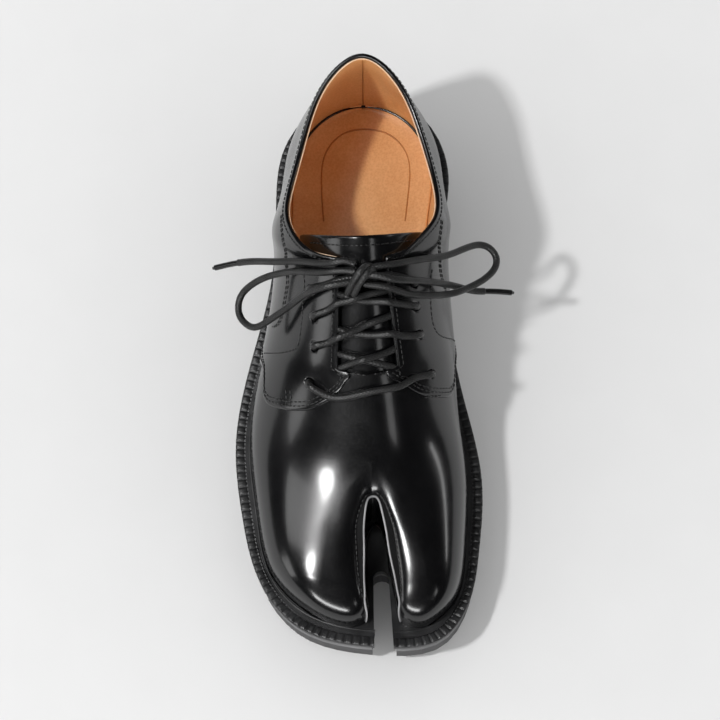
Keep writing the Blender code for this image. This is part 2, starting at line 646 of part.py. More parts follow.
def upper_normal(q, t):
    """Outward unit normal of the upper's outer face."""
    dq = upper_surface(q + 0.01, t) - upper_surface(q - 0.01, t)
    dt = upper_surface(q, np.minimum(t + 0.005, 1.0)) - upper_surface(q, np.maximum(t - 0.005, 0.0))
    normal = np.cross(dq, dt)
    return normal / np.linalg.norm(normal, axis=-1, keepdims=True)


def clear_scene():
    for obj in list(bpy.data.objects):
        bpy.data.objects.remove(obj, do_unlink=True)


def collection(name):
    group = bpy.data.collections.new(name)
    bpy.context.scene.collection.children.link(group)
    return group


def finish(name, colour, roughness):
    """Plain non-metal material."""
    material = bpy.data.materials.new(name)
    material.use_nodes = True
    shader = material.node_tree.nodes["Principled BSDF"]
    shader.inputs["Base Color"].default_value = (*colour, 1.0)
    shader.inputs["Roughness"].default_value = roughness
    shader.inputs["Metallic"].default_value = 0.0
    return material


def add_object(name, bm, group, material=None):
    """Turn a bmesh in millimetres into a named object in metres."""
    bmesh.ops.scale(bm, vec=(MM, MM, MM), verts=bm.verts)
    mesh = bpy.data.meshes.new(name)
    bm.to_mesh(mesh)
    bm.free()
    obj = bpy.data.objects.new(name, mesh)
    group.objects.link(obj)
    if material:
        mesh.materials.append(material)
        mesh.shade_smooth()
        mesh.set_sharp_from_angle(angle=math.radians(40))
    else:
        obj.hide_render = True
        obj.display_type = "WIRE"
    return obj


def grid_mesh(points, wrap=False, weights=None):
    """Quads over a grid of points, columns first, joined where points coincide."""
    columns, rows = points.shape[:2]
    bm = bmesh.new()
    layer = bm.verts.layers.deform.verify()
    verts = [[bm.verts.new(p) for p in column] for column in points]
    if weights is not None:
        for column, shares in zip(verts, weights):
            for vert, share in zip(column, shares):
                vert[layer][0] = share
    for i in range(columns if wrap else columns - 1):
        here, there = verts[i], verts[(i + 1) % columns]
        for j in range(rows - 1):
            bm.faces.new((here[j], there[j], there[j + 1], here[j + 1]))
    bmesh.ops.remove_doubles(bm, verts=bm.verts, dist=0.01)
    return bm


def plate_mesh(ring, low, high):
    """Slab over a plan outline whose two faces follow height functions of the place along the shoe."""
    bm = bmesh.new()
    face = bm.faces.new([bm.verts.new((x, y, 0.0)) for x, y in ring])
    grown = bmesh.ops.extrude_face_region(bm, geom=[face])
    for item in grown["geom"]:
        if isinstance(item, bmesh.types.BMVert):
            item.co.z = 1.0
    for station in LOFT_STATIONS:
        bmesh.ops.bisect_plane(bm, geom=bm.verts[:] + bm.edges[:] + bm.faces[:], dist=0.001,
                               plane_co=(0, station, 0), plane_no=(0, 1, 0))
    for vert in bm.verts:
        level = high if vert.co.z > 0.5 else low
        vert.co.z = float(level(vert.co.y))
    bmesh.ops.recalc_face_normals(bm, faces=bm.faces)
    return bm


def cut(obj, cutter, operation="DIFFERENCE"):
    """Boolean modifier with the exact solver."""
    modifier = obj.modifiers.new(cutter.name, "BOOLEAN")
    modifier.operation = operation
    modifier.solver = "EXACT"
    modifier.object = cutter


def prism(name, ring, low, high, group):
    """Straight-sided cutter over a plan outline."""
    bm = bmesh.new()
    face = bm.faces.new([bm.verts.new((x, y, low)) for x, y in ring])
    grown = bmesh.ops.extrude_face_region(bm, geom=[face])
    bmesh.ops.translate(bm, vec=(0, 0, high - low),
                        verts=[v for v in grown["geom"] if isinstance(v, bmesh.types.BMVert)])
    bmesh.ops.recalc_face_normals(bm, faces=bm.faces)
    return add_object(name, bm, group)


def slot_ring(extra):
    """Plan of the toe slot: straight sides closed by a half circle."""
    along, middle, half = (np.array(column) for column in zip(*SLOT))
    half = half + extra
    left = list(zip(middle - half, along))
    right = list(zip(middle + half, along))[::-1]
    turn = np.linspace(math.pi, 0.0, 9)[1:-1]
    end = [(middle[-1] + half[-1] * math.cos(a), along[-1] + half[-1] * math.sin(a)) for a in turn]
    return left + end + right


def feather_ring(outset, count=120):
    """Points of the feather line moved outwards."""
    knot = np.linspace(0.0, FEATHER.knots[-1], count, endpoint=False)
    return FEATHER.at(knot)[:, :2] + outset * outward(FEATHER, knot)


def boxes(name, places, group):
    """One cutter made of level boxes: middle, size and turn about the vertical of each."""
    bm = bmesh.new()
    for middle, size, turn in places:
        made = bmesh.ops.create_cube(bm, size=1.0)["verts"]
        bmesh.ops.scale(bm, vec=size, verts=made)
        rotation = np.array(((math.cos(turn), -math.sin(turn), 0), (math.sin(turn), math.cos(turn), 0), (0, 0, 1)))
        for vert in made:
            vert.co = rotation @ np.array(vert.co) + np.array(middle)
    return add_object(name, bm, group)


def make_welt(parts, cutters, material):
    ledge = WELT_LEDGE
    bm = plate_mesh(sole_ring(0.0), welt_low, lambda y: welt_top(y) - ledge)
    welt = add_object("welt", bm, parts, material)
    strip = add_object("welt_strip", plate_mesh(sole_ring(WELT_LEDGE_WIDTH), lambda y: welt_low(y) + ledge, welt_top),
                       cutters)
    cut(welt, strip, "UNION")
    cut(welt, prism("upper_seat", feather_ring(WELT_GAP, 150), 0.0, 60.0, cutters))
    cut(welt, prism("welt_slot", slot_ring(0.0), -5.0, 60.0, cutters))


def make_midsole(parts, cutters, material):
    bm = plate_mesh(sole_ring(MIDSOLE_INSET_TOP), midsole_low, midsole_top)
    spread = MIDSOLE_INSET_TOP - MIDSOLE_INSET_LOW
    for vert in bm.verts:
        side = [f.normal for f in vert.link_faces if abs(f.normal.z) < 0.3]
        if side and vert.co.z < midsole_low(vert.co.y) + 0.1:
            out = sum(side[1:], side[0].copy()).normalized()
            vert.co.x += spread * out.x
            vert.co.y += spread * out.y
            vert.co.z = float(midsole_low(vert.co.y))
    midsole = add_object("midsole", bm, parts, material)
    cut(midsole, prism("midsole_slot", slot_ring(SLOT_UNDERCUT), -5.0, 60.0, cutters))


def make_outsole(parts, cutters, material):
    bm = plate_mesh(sole_ring(OUTSOLE_INSET), outsole_low, outsole_top)
    outsole = add_object("outsole", bm, parts, material)
    cut(outsole, prism("outsole_slot", slot_ring(SLOT_UNDERCUT), -5.0, 60.0, cutters))
    grooves = []
    for i in range(FOREFOOT_GROOVES):
        y = FIRST_GROOVE + i * LUG_PITCH
        top = float(toe_rise(y)) + LUG_DEPTH
        grooves.append(((0.0, y, top - 10.0), (140.0, LUG_GROOVE, 20.0), 0.0))
    cut(outsole, boxes("tread_grooves", grooves, cutters))


def make_heel(parts, cutters, material):
    ring = [p for p in sole_ring(HEEL_INSET) if p[1] > HEEL_BREAST]
    heel = add_object("heel", plate_mesh(ring, floor_level, heel_top), parts, material)
    grooves = [((0.0, y, LUG_DEPTH - 10.0), (140.0, HEEL_GROOVE_WIDTH, 20.0), 0.0) for y in HEEL_GROOVES]
    cut(heel, boxes("heel_grooves", grooves, cutters))


def rib_stations():
    """Stations of all ribs, in order round the upper."""
    return np.concatenate([i + np.arange(n) / n for i, n in enumerate(RIBS)])


def quarter_columns(t, lateral):
    """Stations of the columns about one quarter's front edge: first those on the quarter, then on the vamp."""
    edge = steady_curve(*(np.array([row[c] for row in QUARTER_EDGE]) for c in (0, 1 if lateral else 2)), t)
    first = max(q for q in rib_stations() if q < QUARTER_EDGE[0][1] - EDGE_WIDTH)
    f = np.arange(1, QUARTER_COLUMNS + 1)[:, None] / QUARTER_COLUMNS
    quarter = first + (edge - first) * f
    near = edge + EDGE_WIDTH
    throat = (S["throat lateral"] - near[-1]) / (S["fork lateral"] - near[-1])
    shares = np.concatenate([np.linspace(0.0, throat, VAMP_COLUMNS[0] + 1)[:-1],
                             np.linspace(throat, 1.0, VAMP_COLUMNS[1] + 1)[:-1]])
    vamp = near + (S["fork lateral"] - near) * shares[:, None]
    return np.concatenate([quarter, vamp])


def upper_columns():
    """Stations of every column at every height, and 1 where it is quarter or 0 where it is vamp."""
    t = np.array(ROWS)
    straight = rib_stations()[:, None]
    last = max(q for q in rib_stations() if q < QUARTER_EDGE[0][1] - EDGE_WIDTH)
    lateral = quarter_columns(t, True)
    medial = ROUND - quarter_columns(t, False)[::-1]
    groups = [(straight[straight[:, 0] <= last], 1), (lateral[:QUARTER_COLUMNS], 1), (lateral[QUARTER_COLUMNS:], 0),
              (straight[(straight[:, 0] >= S["fork lateral"]) & (straight[:, 0] <= S["fork medial"])], 0),
              (medial[:-QUARTER_COLUMNS], 0), (medial[-QUARTER_COLUMNS:], 1),
              (straight[straight[:, 0] >= ROUND - last], 1)]
    q = np.concatenate([np.broadcast_to(group, (len(group), len(t))) for group, _ in groups])
    share = np.concatenate([np.full((len(group), len(t)), float(on)) for group, on in groups])
    share[:, 0] = 0.0
    return q, np.broadcast_to(t, q.shape), share


def make_upper(parts, cutters, material):
    q, t, share = upper_columns()
    outer = upper_surface(q, t)
    on_quarter = share > 0
    outer[on_quarter] += QUARTER_STEP * upper_normal(q[on_quarter], t[on_quarter])
    foot = outer[:, :1].copy()
    foot[..., 2] = midsole_top(foot[..., 1]) + SEAT_GAP
    bm = grid_mesh(np.concatenate([foot, outer], axis=1), True, np.concatenate([share[:, :1], share], axis=1))
    upper = add_object("upper", bm, parts, material)
    wall = upper.modifiers.new("wall", "SOLIDIFY")
    wall.thickness = (WALL + QUARTER_STEP) * MM
    wall.offset = -1.0
    wall.vertex_group = upper.vertex_groups.new(name="quarters").name
    wall.thickness_vertex_group = WALL / (WALL + QUARTER_STEP)
    cut(upper, make_eyelets(cutters))


def make_eyelets(cutters):
    """Round punches square to the leather."""
    bm = bmesh.new()
    for lateral_q, lateral_t, medial_q, medial_t in EYELETS:
        for q, t in ((lateral_q, lateral_t), (-medial_q, medial_t)):
            point = upper_surface(np.array(q), np.array(t))
            normal = upper_normal(np.array(q), np.array(t))
            made = bmesh.ops.create_cone(bm, cap_ends=True, segments=10, radius1=EYELET_DIAMETER / 2,
                                         radius2=EYELET_DIAMETER / 2, depth=12.0)["verts"]
            side = np.cross(normal, (0.0, 1.0, 0.0))
            side /= np.linalg.norm(side)
            frame = np.stack([side, np.cross(normal, side), normal], axis=1)
            for vert in made:
                vert.co = frame @ np.array(vert.co) + point
    return add_object("eyelets", bm, cutters)


def tongue_surface(share, across):
    """Outer face of the tongue under the instep: share down the instep, across from -1 lateral to 1 medial."""
    share, across = np.broadcast_arrays(share, across)
    height = 1.0 - (1.0 - TONGUE_EDGE) * np.abs(across)
    first = S["facing top lateral"]
    place = np.interp(share, (-1.0, 0.0, CORNER_SHARE, 1.0, VAMP_SHARE),
                      (first - 1.0 / CORNER_SHARE, first, S["facing foot lateral"], S["throat lateral"],
                       S["fork lateral"]))
    q = np.where(across < 0, place, ROUND - place)

    def sheet(q, t):
        return bezier(crest_ribs(q), t)

    dq = sheet(q + 0.02, height) - sheet(q - 0.02, height)
    dt = sheet(q, height) - sheet(q, height - 0.01)
    normal = np.cross(dq, dt)
    normal /= np.linalg.norm(normal, axis=-1, keepdims=True)
    return sheet(q, height) - (WALL + TONGUE_CLEARANCE) * normal


def make_tongue(parts, material):
    across = np.linspace(-1.0, 1.0, TONGUE_COLUMNS + 1)[:, None]
    f = np.linspace(0.0, 1.0, TONGUE_ROWS)[None, :]
    top = TONGUE_HIGH - TONGUE_WINGS * across ** 2
    share = TONGUE_LOW + (top - TONGUE_LOW) * f
    tongue = add_object("tongue", grid_mesh(tongue_surface(share, across)), parts, material)
    wall = tongue.modifiers.new("wall", "SOLIDIFY")
    wall.thickness = TONGUE_THICKNESS * MM
    wall.offset = -1.0
    wall.use_even_offset = True


def make_insole(parts, material):
    ring = feather_ring(-(WALL + INSOLE_CLEARANCE))
    low = lambda y: midsole_top(y) + SEAT_GAP
    bm = plate_mesh(ring, low, lambda y: low(y) + INSOLE_THICKNESS)
    add_object("insole", bm, parts, material)


def lace_points(route):
    """Points at even steps on a smooth curve through a route."""
    curve = Spline(route)
    count = max(3, round(curve.knots[-1] / (LACE_STEP * LACE_DIAMETER)) + 1)
    return curve.at(np.linspace(0.0, curve.knots[-1], count))


def tube(name, points, diameter, group, material):
    """Round cord along points, closed at both ends."""
    curve = bpy.data.curves.new(name, "CURVE")
    curve.dimensions = "3D"
    curve.bevel_depth = diameter / 2 * MM
    curve.bevel_resolution = 2
    curve.use_fill_caps = True
    spline = curve.splines.new("POLY")
    spline.points.add(len(points) - 1)
    for place, point in zip(spline.points, points):
        place.co = (*(point * MM), 1.0)
    curve.materials.append(material)
    obj = bpy.data.objects.new(name, curve)
    group.objects.link(obj)
    return obj


def solid_tube(name, points, diameter, group, material):
    """The same cord as a mesh, so that another can be joined to it."""
    cord = tube(name + "_line", points, diameter, group, material)
    mesh = bpy.data.meshes.new_from_object(cord)
    bpy.data.objects.remove(cord, do_unlink=True)
    obj = bpy.data.objects.new(name, mesh)
    group.objects.link(obj)
    return obj


def make_crossing(name, routes, parts, cutters, material):
    """Two strands that run through one another where they cross."""
    first, second = (lace_points(route) for route in routes)
    under = solid_tube(name, first, LACE_DIAMETER, parts, material)
    over = solid_tube(name + "_over", second, LACE_DIAMETER, cutters, material)
    over.hide_render = True
    over.display_type = "WIRE"
    cut(under, over, "UNION")


def make_knot(parts, material):
    bm = bmesh.new()
    bmesh.ops.create_uvsphere(bm, u_segments=12, v_segments=6, radius=0.5)
    bmesh.ops.scale(bm, vec=KNOT_SIZE, verts=bm.verts)
    tilt = math.radians(KNOT_TILT)
    turn = np.array(((1, 0, 0), (0, math.cos(tilt), -math.sin(tilt)), (0, math.sin(tilt), math.cos(tilt))))
    for vert in bm.verts:
        vert.co = turn @ np.array(vert.co) + np.array(KNOT_MIDDLE)
    add_object("lace_knot", bm, parts, material)


def make_end(side, parts, cotton, plastic):
    """A free end of the lace and the tip on it."""
    curve = Spline(LACE_ENDS[side])
    line = curve.at(np.linspace(0.0, curve.knots[-1], 1000))
    left = np.linalg.norm(line - line[-1], axis=1)
    cord = line[left > TIP_LENGTH + 2 * SEAT_GAP]
    steps = np.linalg.norm(np.diff(cord, axis=0), axis=1).sum() / (LACE_STEP * LACE_DIAMETER)
    places = np.linspace(0, len(cord) - 1, round(steps) + 1).astype(int)
    tube("lace_end_" + side, cord[places], LACE_DIAMETER, parts, cotton)
    tube("lace_tip_" + side, np.stack([line[left < TIP_LENGTH][0], line[-1]]), TIP_DIAMETER, parts, plastic)


def make_lace(parts, cutters, cotton, plastic):
    tube("lace_bar", lace_points(LACE_BAR), LACE_DIAMETER, parts, cotton)
    for name, routes in CROSSINGS.items():
        make_crossing(name, routes, parts, cutters, cotton)
    for name, route in (*LACE_TIES.items(), *LACE_LOOPS.items()):
        tube(name, lace_points(route), LACE_DIAMETER, parts, cotton)
    make_knot(parts, cotton)
    for side in LACE_ENDS:
        make_end(side, parts, cotton, plastic)


def build():
    clear_scene()
    parts = collection("split_toe_derby")
    cutters = collection("cutters")
    leather = finish("black_box_leather", (0.012, 0.012, 0.012), 0.2)
    rubber = finish("black_rubber", (0.02, 0.02, 0.02), 0.6)
    grey_rubber = finish("grey_rubber", (0.25, 0.25, 0.25), 0.6)
    tan = finish("tan_leather", (0.6, 0.32, 0.13), 0.5)
    make_outsole(parts, cutters, rubber)
    make_heel(parts, cutters, rubber)
    make_midsole(parts, cutters, grey_rubber)
    make_welt(parts, cutters, rubber)
    make_upper(parts, cutters, leather)
    make_tongue(parts, leather)
    make_insole(parts, tan)
    make_lace(parts, cutters, finish("black_waxed_cotton", (0.02, 0.02, 0.02), 0.7),
              finish("black_acetate", (0.015, 0.015, 0.015), 0.3))


build()
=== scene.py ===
"""Looks of a split-toe lace-up derby shoe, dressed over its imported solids.

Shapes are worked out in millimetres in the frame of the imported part: the toe points to -Y, the inner side of
this right shoe to +X and the floor is z = 0. Every mesh is scaled to metres as it is made.
"""
from __future__ import annotations

import logging
import math
from dataclasses import dataclass, field
from enum import Enum
from typing import Sequence

import bmesh
import bpy
import numpy as np
from mathutils import Matrix, Vector


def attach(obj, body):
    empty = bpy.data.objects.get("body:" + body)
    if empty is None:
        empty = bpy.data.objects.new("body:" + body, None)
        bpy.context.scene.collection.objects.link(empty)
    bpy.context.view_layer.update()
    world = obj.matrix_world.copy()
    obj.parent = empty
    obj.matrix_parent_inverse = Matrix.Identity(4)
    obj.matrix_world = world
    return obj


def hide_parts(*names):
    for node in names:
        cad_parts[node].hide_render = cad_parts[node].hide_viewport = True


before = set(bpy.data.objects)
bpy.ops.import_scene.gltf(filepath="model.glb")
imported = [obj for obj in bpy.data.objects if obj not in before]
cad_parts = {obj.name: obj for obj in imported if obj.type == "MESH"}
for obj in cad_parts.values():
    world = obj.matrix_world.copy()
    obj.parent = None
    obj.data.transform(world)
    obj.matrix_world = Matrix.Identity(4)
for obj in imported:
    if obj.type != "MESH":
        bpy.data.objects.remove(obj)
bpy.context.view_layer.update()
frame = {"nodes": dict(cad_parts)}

MM = 0.001
BODY = "root"
LACE_RADIUS = 1.5
LACE_STRANDS = 6                      # strands that wind each way round the lace
BRAID_PITCH = 2 * math.pi * LACE_RADIUS / LACE_STRANDS
LOG = logging.getLogger("split_toe_derby")
Array = np.ndarray
ASKEW = np.array([0.13, 0.29, 0.95])  # a direction that no carried line follows
LEVEL = np.array([1.0, 1.0, 0.0])     # keeps the level part of a vector


def linear(colour: str) -> tuple[float, float, float, float]:
    """Turn an sRGB hex colour into linear RGBA.

    Args:
        colour: six hex digits after a hash.

    Returns:
        Linear red, green, blue and an alpha of 1.
    """
    parts = [int(colour[i:i + 2], 16) / 255.0 for i in (1, 3, 5)]
    return (*(c / 12.92 if c <= 0.04045 else ((c + 0.055) / 1.055) ** 2.4 for c in parts), 1.0)


def add_node(tree: bpy.types.NodeTree, kind: str, settings: dict | None = None,
             inputs: dict | None = None) -> bpy.types.Node:
    """Add a shader node.

    Args:
        tree: node tree of the material.
        kind: Blender's type name of the node.
        settings: attributes of the node.
        inputs: values or output sockets for its inputs, by name or number.

    Returns:
        The new node.
    """
    node = tree.nodes.new(kind)
    for key, value in (settings or {}).items():
        setattr(node, key, value)
    for key, value in (inputs or {}).items():
        if isinstance(value, bpy.types.NodeSocket):
            tree.links.new(value, node.inputs[key])
        else:
            node.inputs[key].default_value = value
    return node


class Relief(Enum):
    """How the fine relief of a finish is laid out."""

    GRAIN = "grain"          # leather: soft cells with pores
    MOULD = "mould"          # rubber: even spark-eroded stipple
    BRAID = "braid"          # lace: strands on the piece's own UV map
    SMOOTH = "smooth"        # polished plastic, paper


@dataclass(frozen=True)
class Finish:
    """One real material and how its surface was made."""

    name: str
    slot: str                         # colour slot of the part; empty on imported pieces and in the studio
    low: str                          # colour in the hollows
    high: str                         # colour on the heights
    roughness: tuple[float, float]
    relief: Relief
    size_mm: float                    # width of one grain cell, stipple dot or strand
    depth_mm: float                   # height of the relief
    drift_mm: float = 12.0            # width of the slow unevenness in colour and level
    drift_depth_mm: float = 0.0
    coat: float = 0.0
    coat_roughness: float = 0.05
    ior: float = 1.5

    def material(self) -> bpy.types.Material:
        """Build the node material.

        The fine relief is a Voronoi or noise field at the grain's real width; the slow drift is a noise field.
        Both are summed into the bump, and the fine one mixes the two colours and the two roughnesses.

        Returns:
            The material, made once for each finish.
        """
        found = bpy.data.materials.get(self.name)
        if found:
            return found
        material = bpy.data.materials.new(self.name)
        material.use_nodes = True
        tree = material.node_tree
        shader = tree.nodes["Principled BSDF"]
        where = add_node(tree, "ShaderNodeTexCoord")
        space, scale = where.outputs["Object"], 1.0 / (self.size_mm * MM)
        if self.relief is Relief.BRAID:
            fine = self._strands(tree, where.outputs["UV"])
        elif self.relief is Relief.GRAIN:
            fine = add_node(tree, "ShaderNodeTexVoronoi", {"feature": "SMOOTH_F1"},
                            {"Vector": space, "Scale": scale, "Smoothness": 0.6}).outputs["Distance"]
        else:
            fine = add_node(tree, "ShaderNodeTexNoise", None,
                            {"Vector": space, "Scale": scale, "Detail": 3.0}).outputs["Fac"]
        spread = 1.6                  # how strongly the slow drift moves colour and roughness
        slow = add_node(tree, "ShaderNodeTexNoise", None,
                        {"Vector": space, "Scale": 1.0 / (self.drift_mm * MM), "Detail": 2.0})
        tint = add_node(tree, "ShaderNodeMath", {"operation": "ADD", "use_clamp": True},
                        {0: fine, 1: add_node(tree, "ShaderNodeMath", {"operation": "MULTIPLY_ADD"},
                                              {0: slow.outputs["Fac"], 1: spread, 2: -spread / 2}).outputs[0]})
        colour = add_node(tree, "ShaderNodeMix", {"data_type": "RGBA"},
                          {"Factor": tint.outputs[0], 6: linear(self.low), 7: linear(self.high)})
        rough = add_node(tree, "ShaderNodeMapRange", None,
                         {"Value": tint.outputs[0], "To Min": self.roughness[0], "To Max": self.roughness[1]})
        tree.links.new(colour.outputs[2], shader.inputs["Base Color"])
        tree.links.new(rough.outputs[0], shader.inputs["Roughness"])
        normal = None
        for height, depth in ((slow.outputs["Fac"], self.drift_depth_mm), (fine, self.depth_mm)):
            if depth > 0.0:
                wanted = {"Height": height, "Distance": depth * MM, "Strength": 1.0}
                if normal is not None:
                    wanted["Normal"] = normal.outputs["Normal"]
                normal = add_node(tree, "ShaderNodeBump", None, wanted)
        if normal is not None:
            tree.links.new(normal.outputs["Normal"], shader.inputs["Normal"])
        shader.inputs["IOR"].default_value = self.ior
        shader.inputs["Coat Weight"].default_value = self.coat
        shader.inputs["Coat Roughness"].default_value = self.coat_roughness
        return material

    def _strands(self, tree: bpy.types.NodeTree, space: bpy.types.NodeSocket) -> bpy.types.NodeSocket:
        """Height of braided strands: the larger of two cosines that lean opposite ways on the UV map.

        Args:
            tree: node tree of the material.
            space: UV output, in millimetres round and along the lace.

        Returns:
            Height from 0 to 1.
        """
        parts = add_node(tree, "ShaderNodeSeparateXYZ", None, {"Vector": space})
        waves = []
        for lean in (1.0, -1.0):
            way = add_node(tree, "ShaderNodeMath", {"operation": "MULTIPLY_ADD"},
                           {0: parts.outputs["X"], 1: lean, 2: parts.outputs["Y"]})
            turn = add_node(tree, "ShaderNodeMath", {"operation": "MULTIPLY"},
                            {0: way.outputs[0], 1: 2 * math.pi / self.size_mm})
            waves.append(add_node(tree, "ShaderNodeMath", {"operation": "COSINE"}, {0: turn.outputs[0]}))
        crest = add_node(tree, "ShaderNodeMath", {"operation": "MAXIMUM"},
                         {0: waves[0].outputs[0], 1: waves[1].outputs[0]})
        return add_node(tree, "ShaderNodeMapRange", None,
                        {"Value": crest.outputs[0], "From Min": -1.0, "From Max": 1.0}).outputs[0]


# Box calf with a high polish: near black, with soft clear highlights and hardly any grain
BOX_LEATHER = Finish("polished_box_calf", "black_leather", "#070708", "#0c0c0d", (0.19, 0.25), Relief.GRAIN,
                     0.7, 0.0007,
                     14.0, 0.03, coat=0.25, coat_roughness=0.09)
# Trimmed leather edge, inked black: matte, and the soft ink film reflects less than the polish
INKED_EDGE = Finish("inked_leather_edge", "black_leather", "#060606", "#101011", (0.52, 0.68), Relief.GRAIN,
                    0.5, 0.008, 8.0,
                    ior=1.2)
# Vegetable-tanned cowhide of the lining and insole: warm, matte, a little cloudy
TAN_LEATHER = Finish("vegetable_tan_lining", "tan_leather", "#d4975b", "#e6b078", (0.5, 0.62), Relief.GRAIN,
                     0.9, 0.01, 22.0, 0.05)
# The same hide where a warm tool has pressed a line into it
PRESSED_LINE = Finish("pressed_tan_line", "tan_leather", "#a8692f", "#bb7c3c", (0.45, 0.55), Relief.GRAIN, 0.9,
                      0.01, 22.0)
# Its cut edge, where the pale undyed fibre shows
CUT_EDGE = Finish("tan_cut_edge", "tan_leather", "#d9b08c", "#f0d2b4", (0.6, 0.7), Relief.GRAIN, 0.4, 0.01, 6.0)
# Moulded rubber of welt, outsole and heel: satin with a spark-eroded stipple
BLACK_RUBBER = Finish("moulded_black_rubber", "black_rubber", "#161617", "#2c2c2d", (0.32, 0.48), Relief.MOULD,
                      0.5, 0.012, 9.0)
# Black rubber of the outsole and midsole painted lighter: the outsole mid grey as painted reflection and the
# midsole pale grey as painted highlight, standing in for the light their sides catch at the toe
OUTSOLE_PAINTED_REFLECTION = Finish("outsole_rubber_painted_reflection", "", "#303031", "#434344", (0.5, 0.65), Relief.MOULD, 0.5, 0.01,
                     12.0)
MIDSOLE_PAINTED_HIGHLIGHT = Finish("midsole_rubber_painted_highlight", "", "#5c5c5d", "#777778", (0.45, 0.6), Relief.MOULD, 0.6, 0.01,
                     12.0)
# Waxed braided cotton: dull black strands that glint where the wax lies; they are 0.6 mm wide on a real lace and
# drawn coarser here, so that they show
WAXED_COTTON = Finish("waxed_braided_cotton", "black_cotton", "#050505", "#262626", (0.55, 0.3), Relief.BRAID,
                      BRAID_PITCH, 0.06, 5.0, ior=1.4)
# Shrunk acetate film of the lace tips: smooth and shiny
ACETATE = Finish("black_acetate_tip", "black_acetate", "#090909", "#101010", (0.2, 0.28), Relief.SMOOTH, 2.0,
                 0.0)
# Bonded polyester thread: a hard, slightly shiny twist
BLACK_THREAD = Finish("bonded_black_thread", "black_cotton", "#0c0c0c", "#1c1c1c", (0.25, 0.4), Relief.SMOOTH,
                      0.4, 0.0)
# The cord along the cleft: piping painted pale grey, a painted highlight of the light that its folded edge
# catches
CORD_PAINTED_HIGHLIGHT = Finish("cleft_cord_painted_highlight", "black_cotton", "#6f6f70", "#a9a9aa", (0.3, 0.45), Relief.SMOOTH,
                     0.4, 0.0)
# Seamless studio paper: matte and nearly even
PAPER = Finish("studio_paper", "", "#d6d6d6", "#dadada", (0.85, 0.9), Relief.SMOOTH, 30.0, 0.0, 400.0)


def dressed(name: str, mesh: bpy.types.Mesh, *finishes: Finish, node: str = "") -> bpy.types.Object:
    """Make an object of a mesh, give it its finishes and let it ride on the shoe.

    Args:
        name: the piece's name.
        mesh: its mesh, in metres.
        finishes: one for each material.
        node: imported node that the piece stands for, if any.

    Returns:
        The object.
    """
    for finish in finishes:
        mesh.materials.append(finish.material())
    mesh.shade_smooth()
    obj = bpy.data.objects.new(name, mesh)
    bpy.context.scene.collection.objects.link(obj)
    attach(obj, BODY)
    if node:
        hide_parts(node)
    LOG.info("%s: %d faces", name, len(mesh.polygons))
    return obj


def mesh_of(name: str, points: Array, quads: Array, uv: Array | None = None, slots: Array | None = None,
            weld: float = 0.0) -> bpy.types.Mesh:
    """Put arrays into a mesh.

    Args:
        name: mesh name.
        points: vertices in millimetres, one row each.
        quads: four vertex numbers for each face.
        uv: map coordinates for each vertex.
        slots: material number of each face.
        weld: vertices nearer than this, in millimetres, become one.

    Returns:
        The mesh, in metres.
    """
    mesh = bpy.data.meshes.new(name)
    mesh.from_pydata((np.asarray(points) * MM).tolist(), [], np.asarray(quads).tolist())
    if slots is not None:
        mesh.polygons.foreach_set("material_index", np.asarray(slots, np.int32))
    if uv is not None:
        layer = mesh.uv_layers.new(name="UVMap")
        corners = np.zeros(len(mesh.loops), np.int32)
        mesh.loops.foreach_get("vertex_index", corners)
        layer.data.foreach_set("uv", np.asarray(uv, np.float32)[corners].ravel())
    if weld > 0.0:
        bm = bmesh.new()
        bm.from_mesh(mesh)
        bmesh.ops.remove_doubles(bm, verts=bm.verts, dist=weld * MM)
        bm.to_mesh(mesh)
        bm.free()
    mesh.update()
    return mesh


def grid_quads(columns: int, rows: int, wrap: bool = False) -> Array:
    """Faces of a grid of vertices that is stored column by column.

    Args:
        columns: number of columns.
        rows: vertices in each column.
        wrap: whether the last column joins the first.

    Returns:
        Four vertex numbers for each face.
    """
    index = np.arange(columns * rows).reshape(columns, rows)
    if wrap:
        index = np.vstack([index, index[:1]])
    return np.stack([index[:-1, :-1], index[1:, :-1], index[1:, 1:], index[:-1, 1:]], axis=-1).reshape(-1, 4)


def unit(vectors: Array) -> Array:
    """Scale vectors to length 1."""
    return vectors / np.maximum(np.linalg.norm(vectors, axis=-1, keepdims=True), 1e-9)


def way_along(line: Array) -> Array:
    """Distance of every point from the start of a line."""
    return np.concatenate([[0.0], np.cumsum(np.linalg.norm(np.diff(line, axis=0), axis=1))])


def read_at(where: Array, way: Array, rows: Array) -> Array:
    """Rows of numbers read at places on a way, straight between neighbours."""
    return np.stack([np.interp(where, way, column) for column in rows.T], axis=-1)


def punch(face: Array, middles: Array, axes: Array, radius: float) -> tuple[Array, Array]:
    """Cut round holes in a grid.

    Faces whose middle lies inside a hole's circle are left out, and the points on the border of what is left out
    move straight away from the axis, or towards it, on to the circle.

    Args:
        face: grid of points.
        middles: one point for each hole.
        axes: unit axis of each hole.
        radius: of every hole.

    Returns:
        The moved grid and a mask of the faces left out.
    """
    face = face.copy()
    cut = np.zeros((face.shape[0] - 1, face.shape[1] - 1), bool)
    for middle, axis in zip(middles, axes):
        centre = (face[:-1, :-1] + face[1:, :-1] + face[1:, 1:] + face[:-1, 1:]) / 4 - middle
        depth = centre @ axis
        inside = np.linalg.norm(centre - depth[..., None] * axis, axis=-1) < radius
        here = inside & (np.abs(depth) < 3 * radius)
        count = np.zeros(face.shape[:2], int)
        for corner in (count[:-1, :-1], count[1:, :-1], count[1:, 1:], count[:-1, 1:]):
            corner += here
        away = face - middle
        away = away - (away @ axis)[..., None] * axis
        rim = ((count > 0) & (count < 4))[..., None]
        stretch = radius / np.maximum(np.linalg.norm(away, axis=-1), 1e-6) - 1
        face = np.where(rim, face + away * stretch[..., None], face)
        cut |= here
    return face, cut


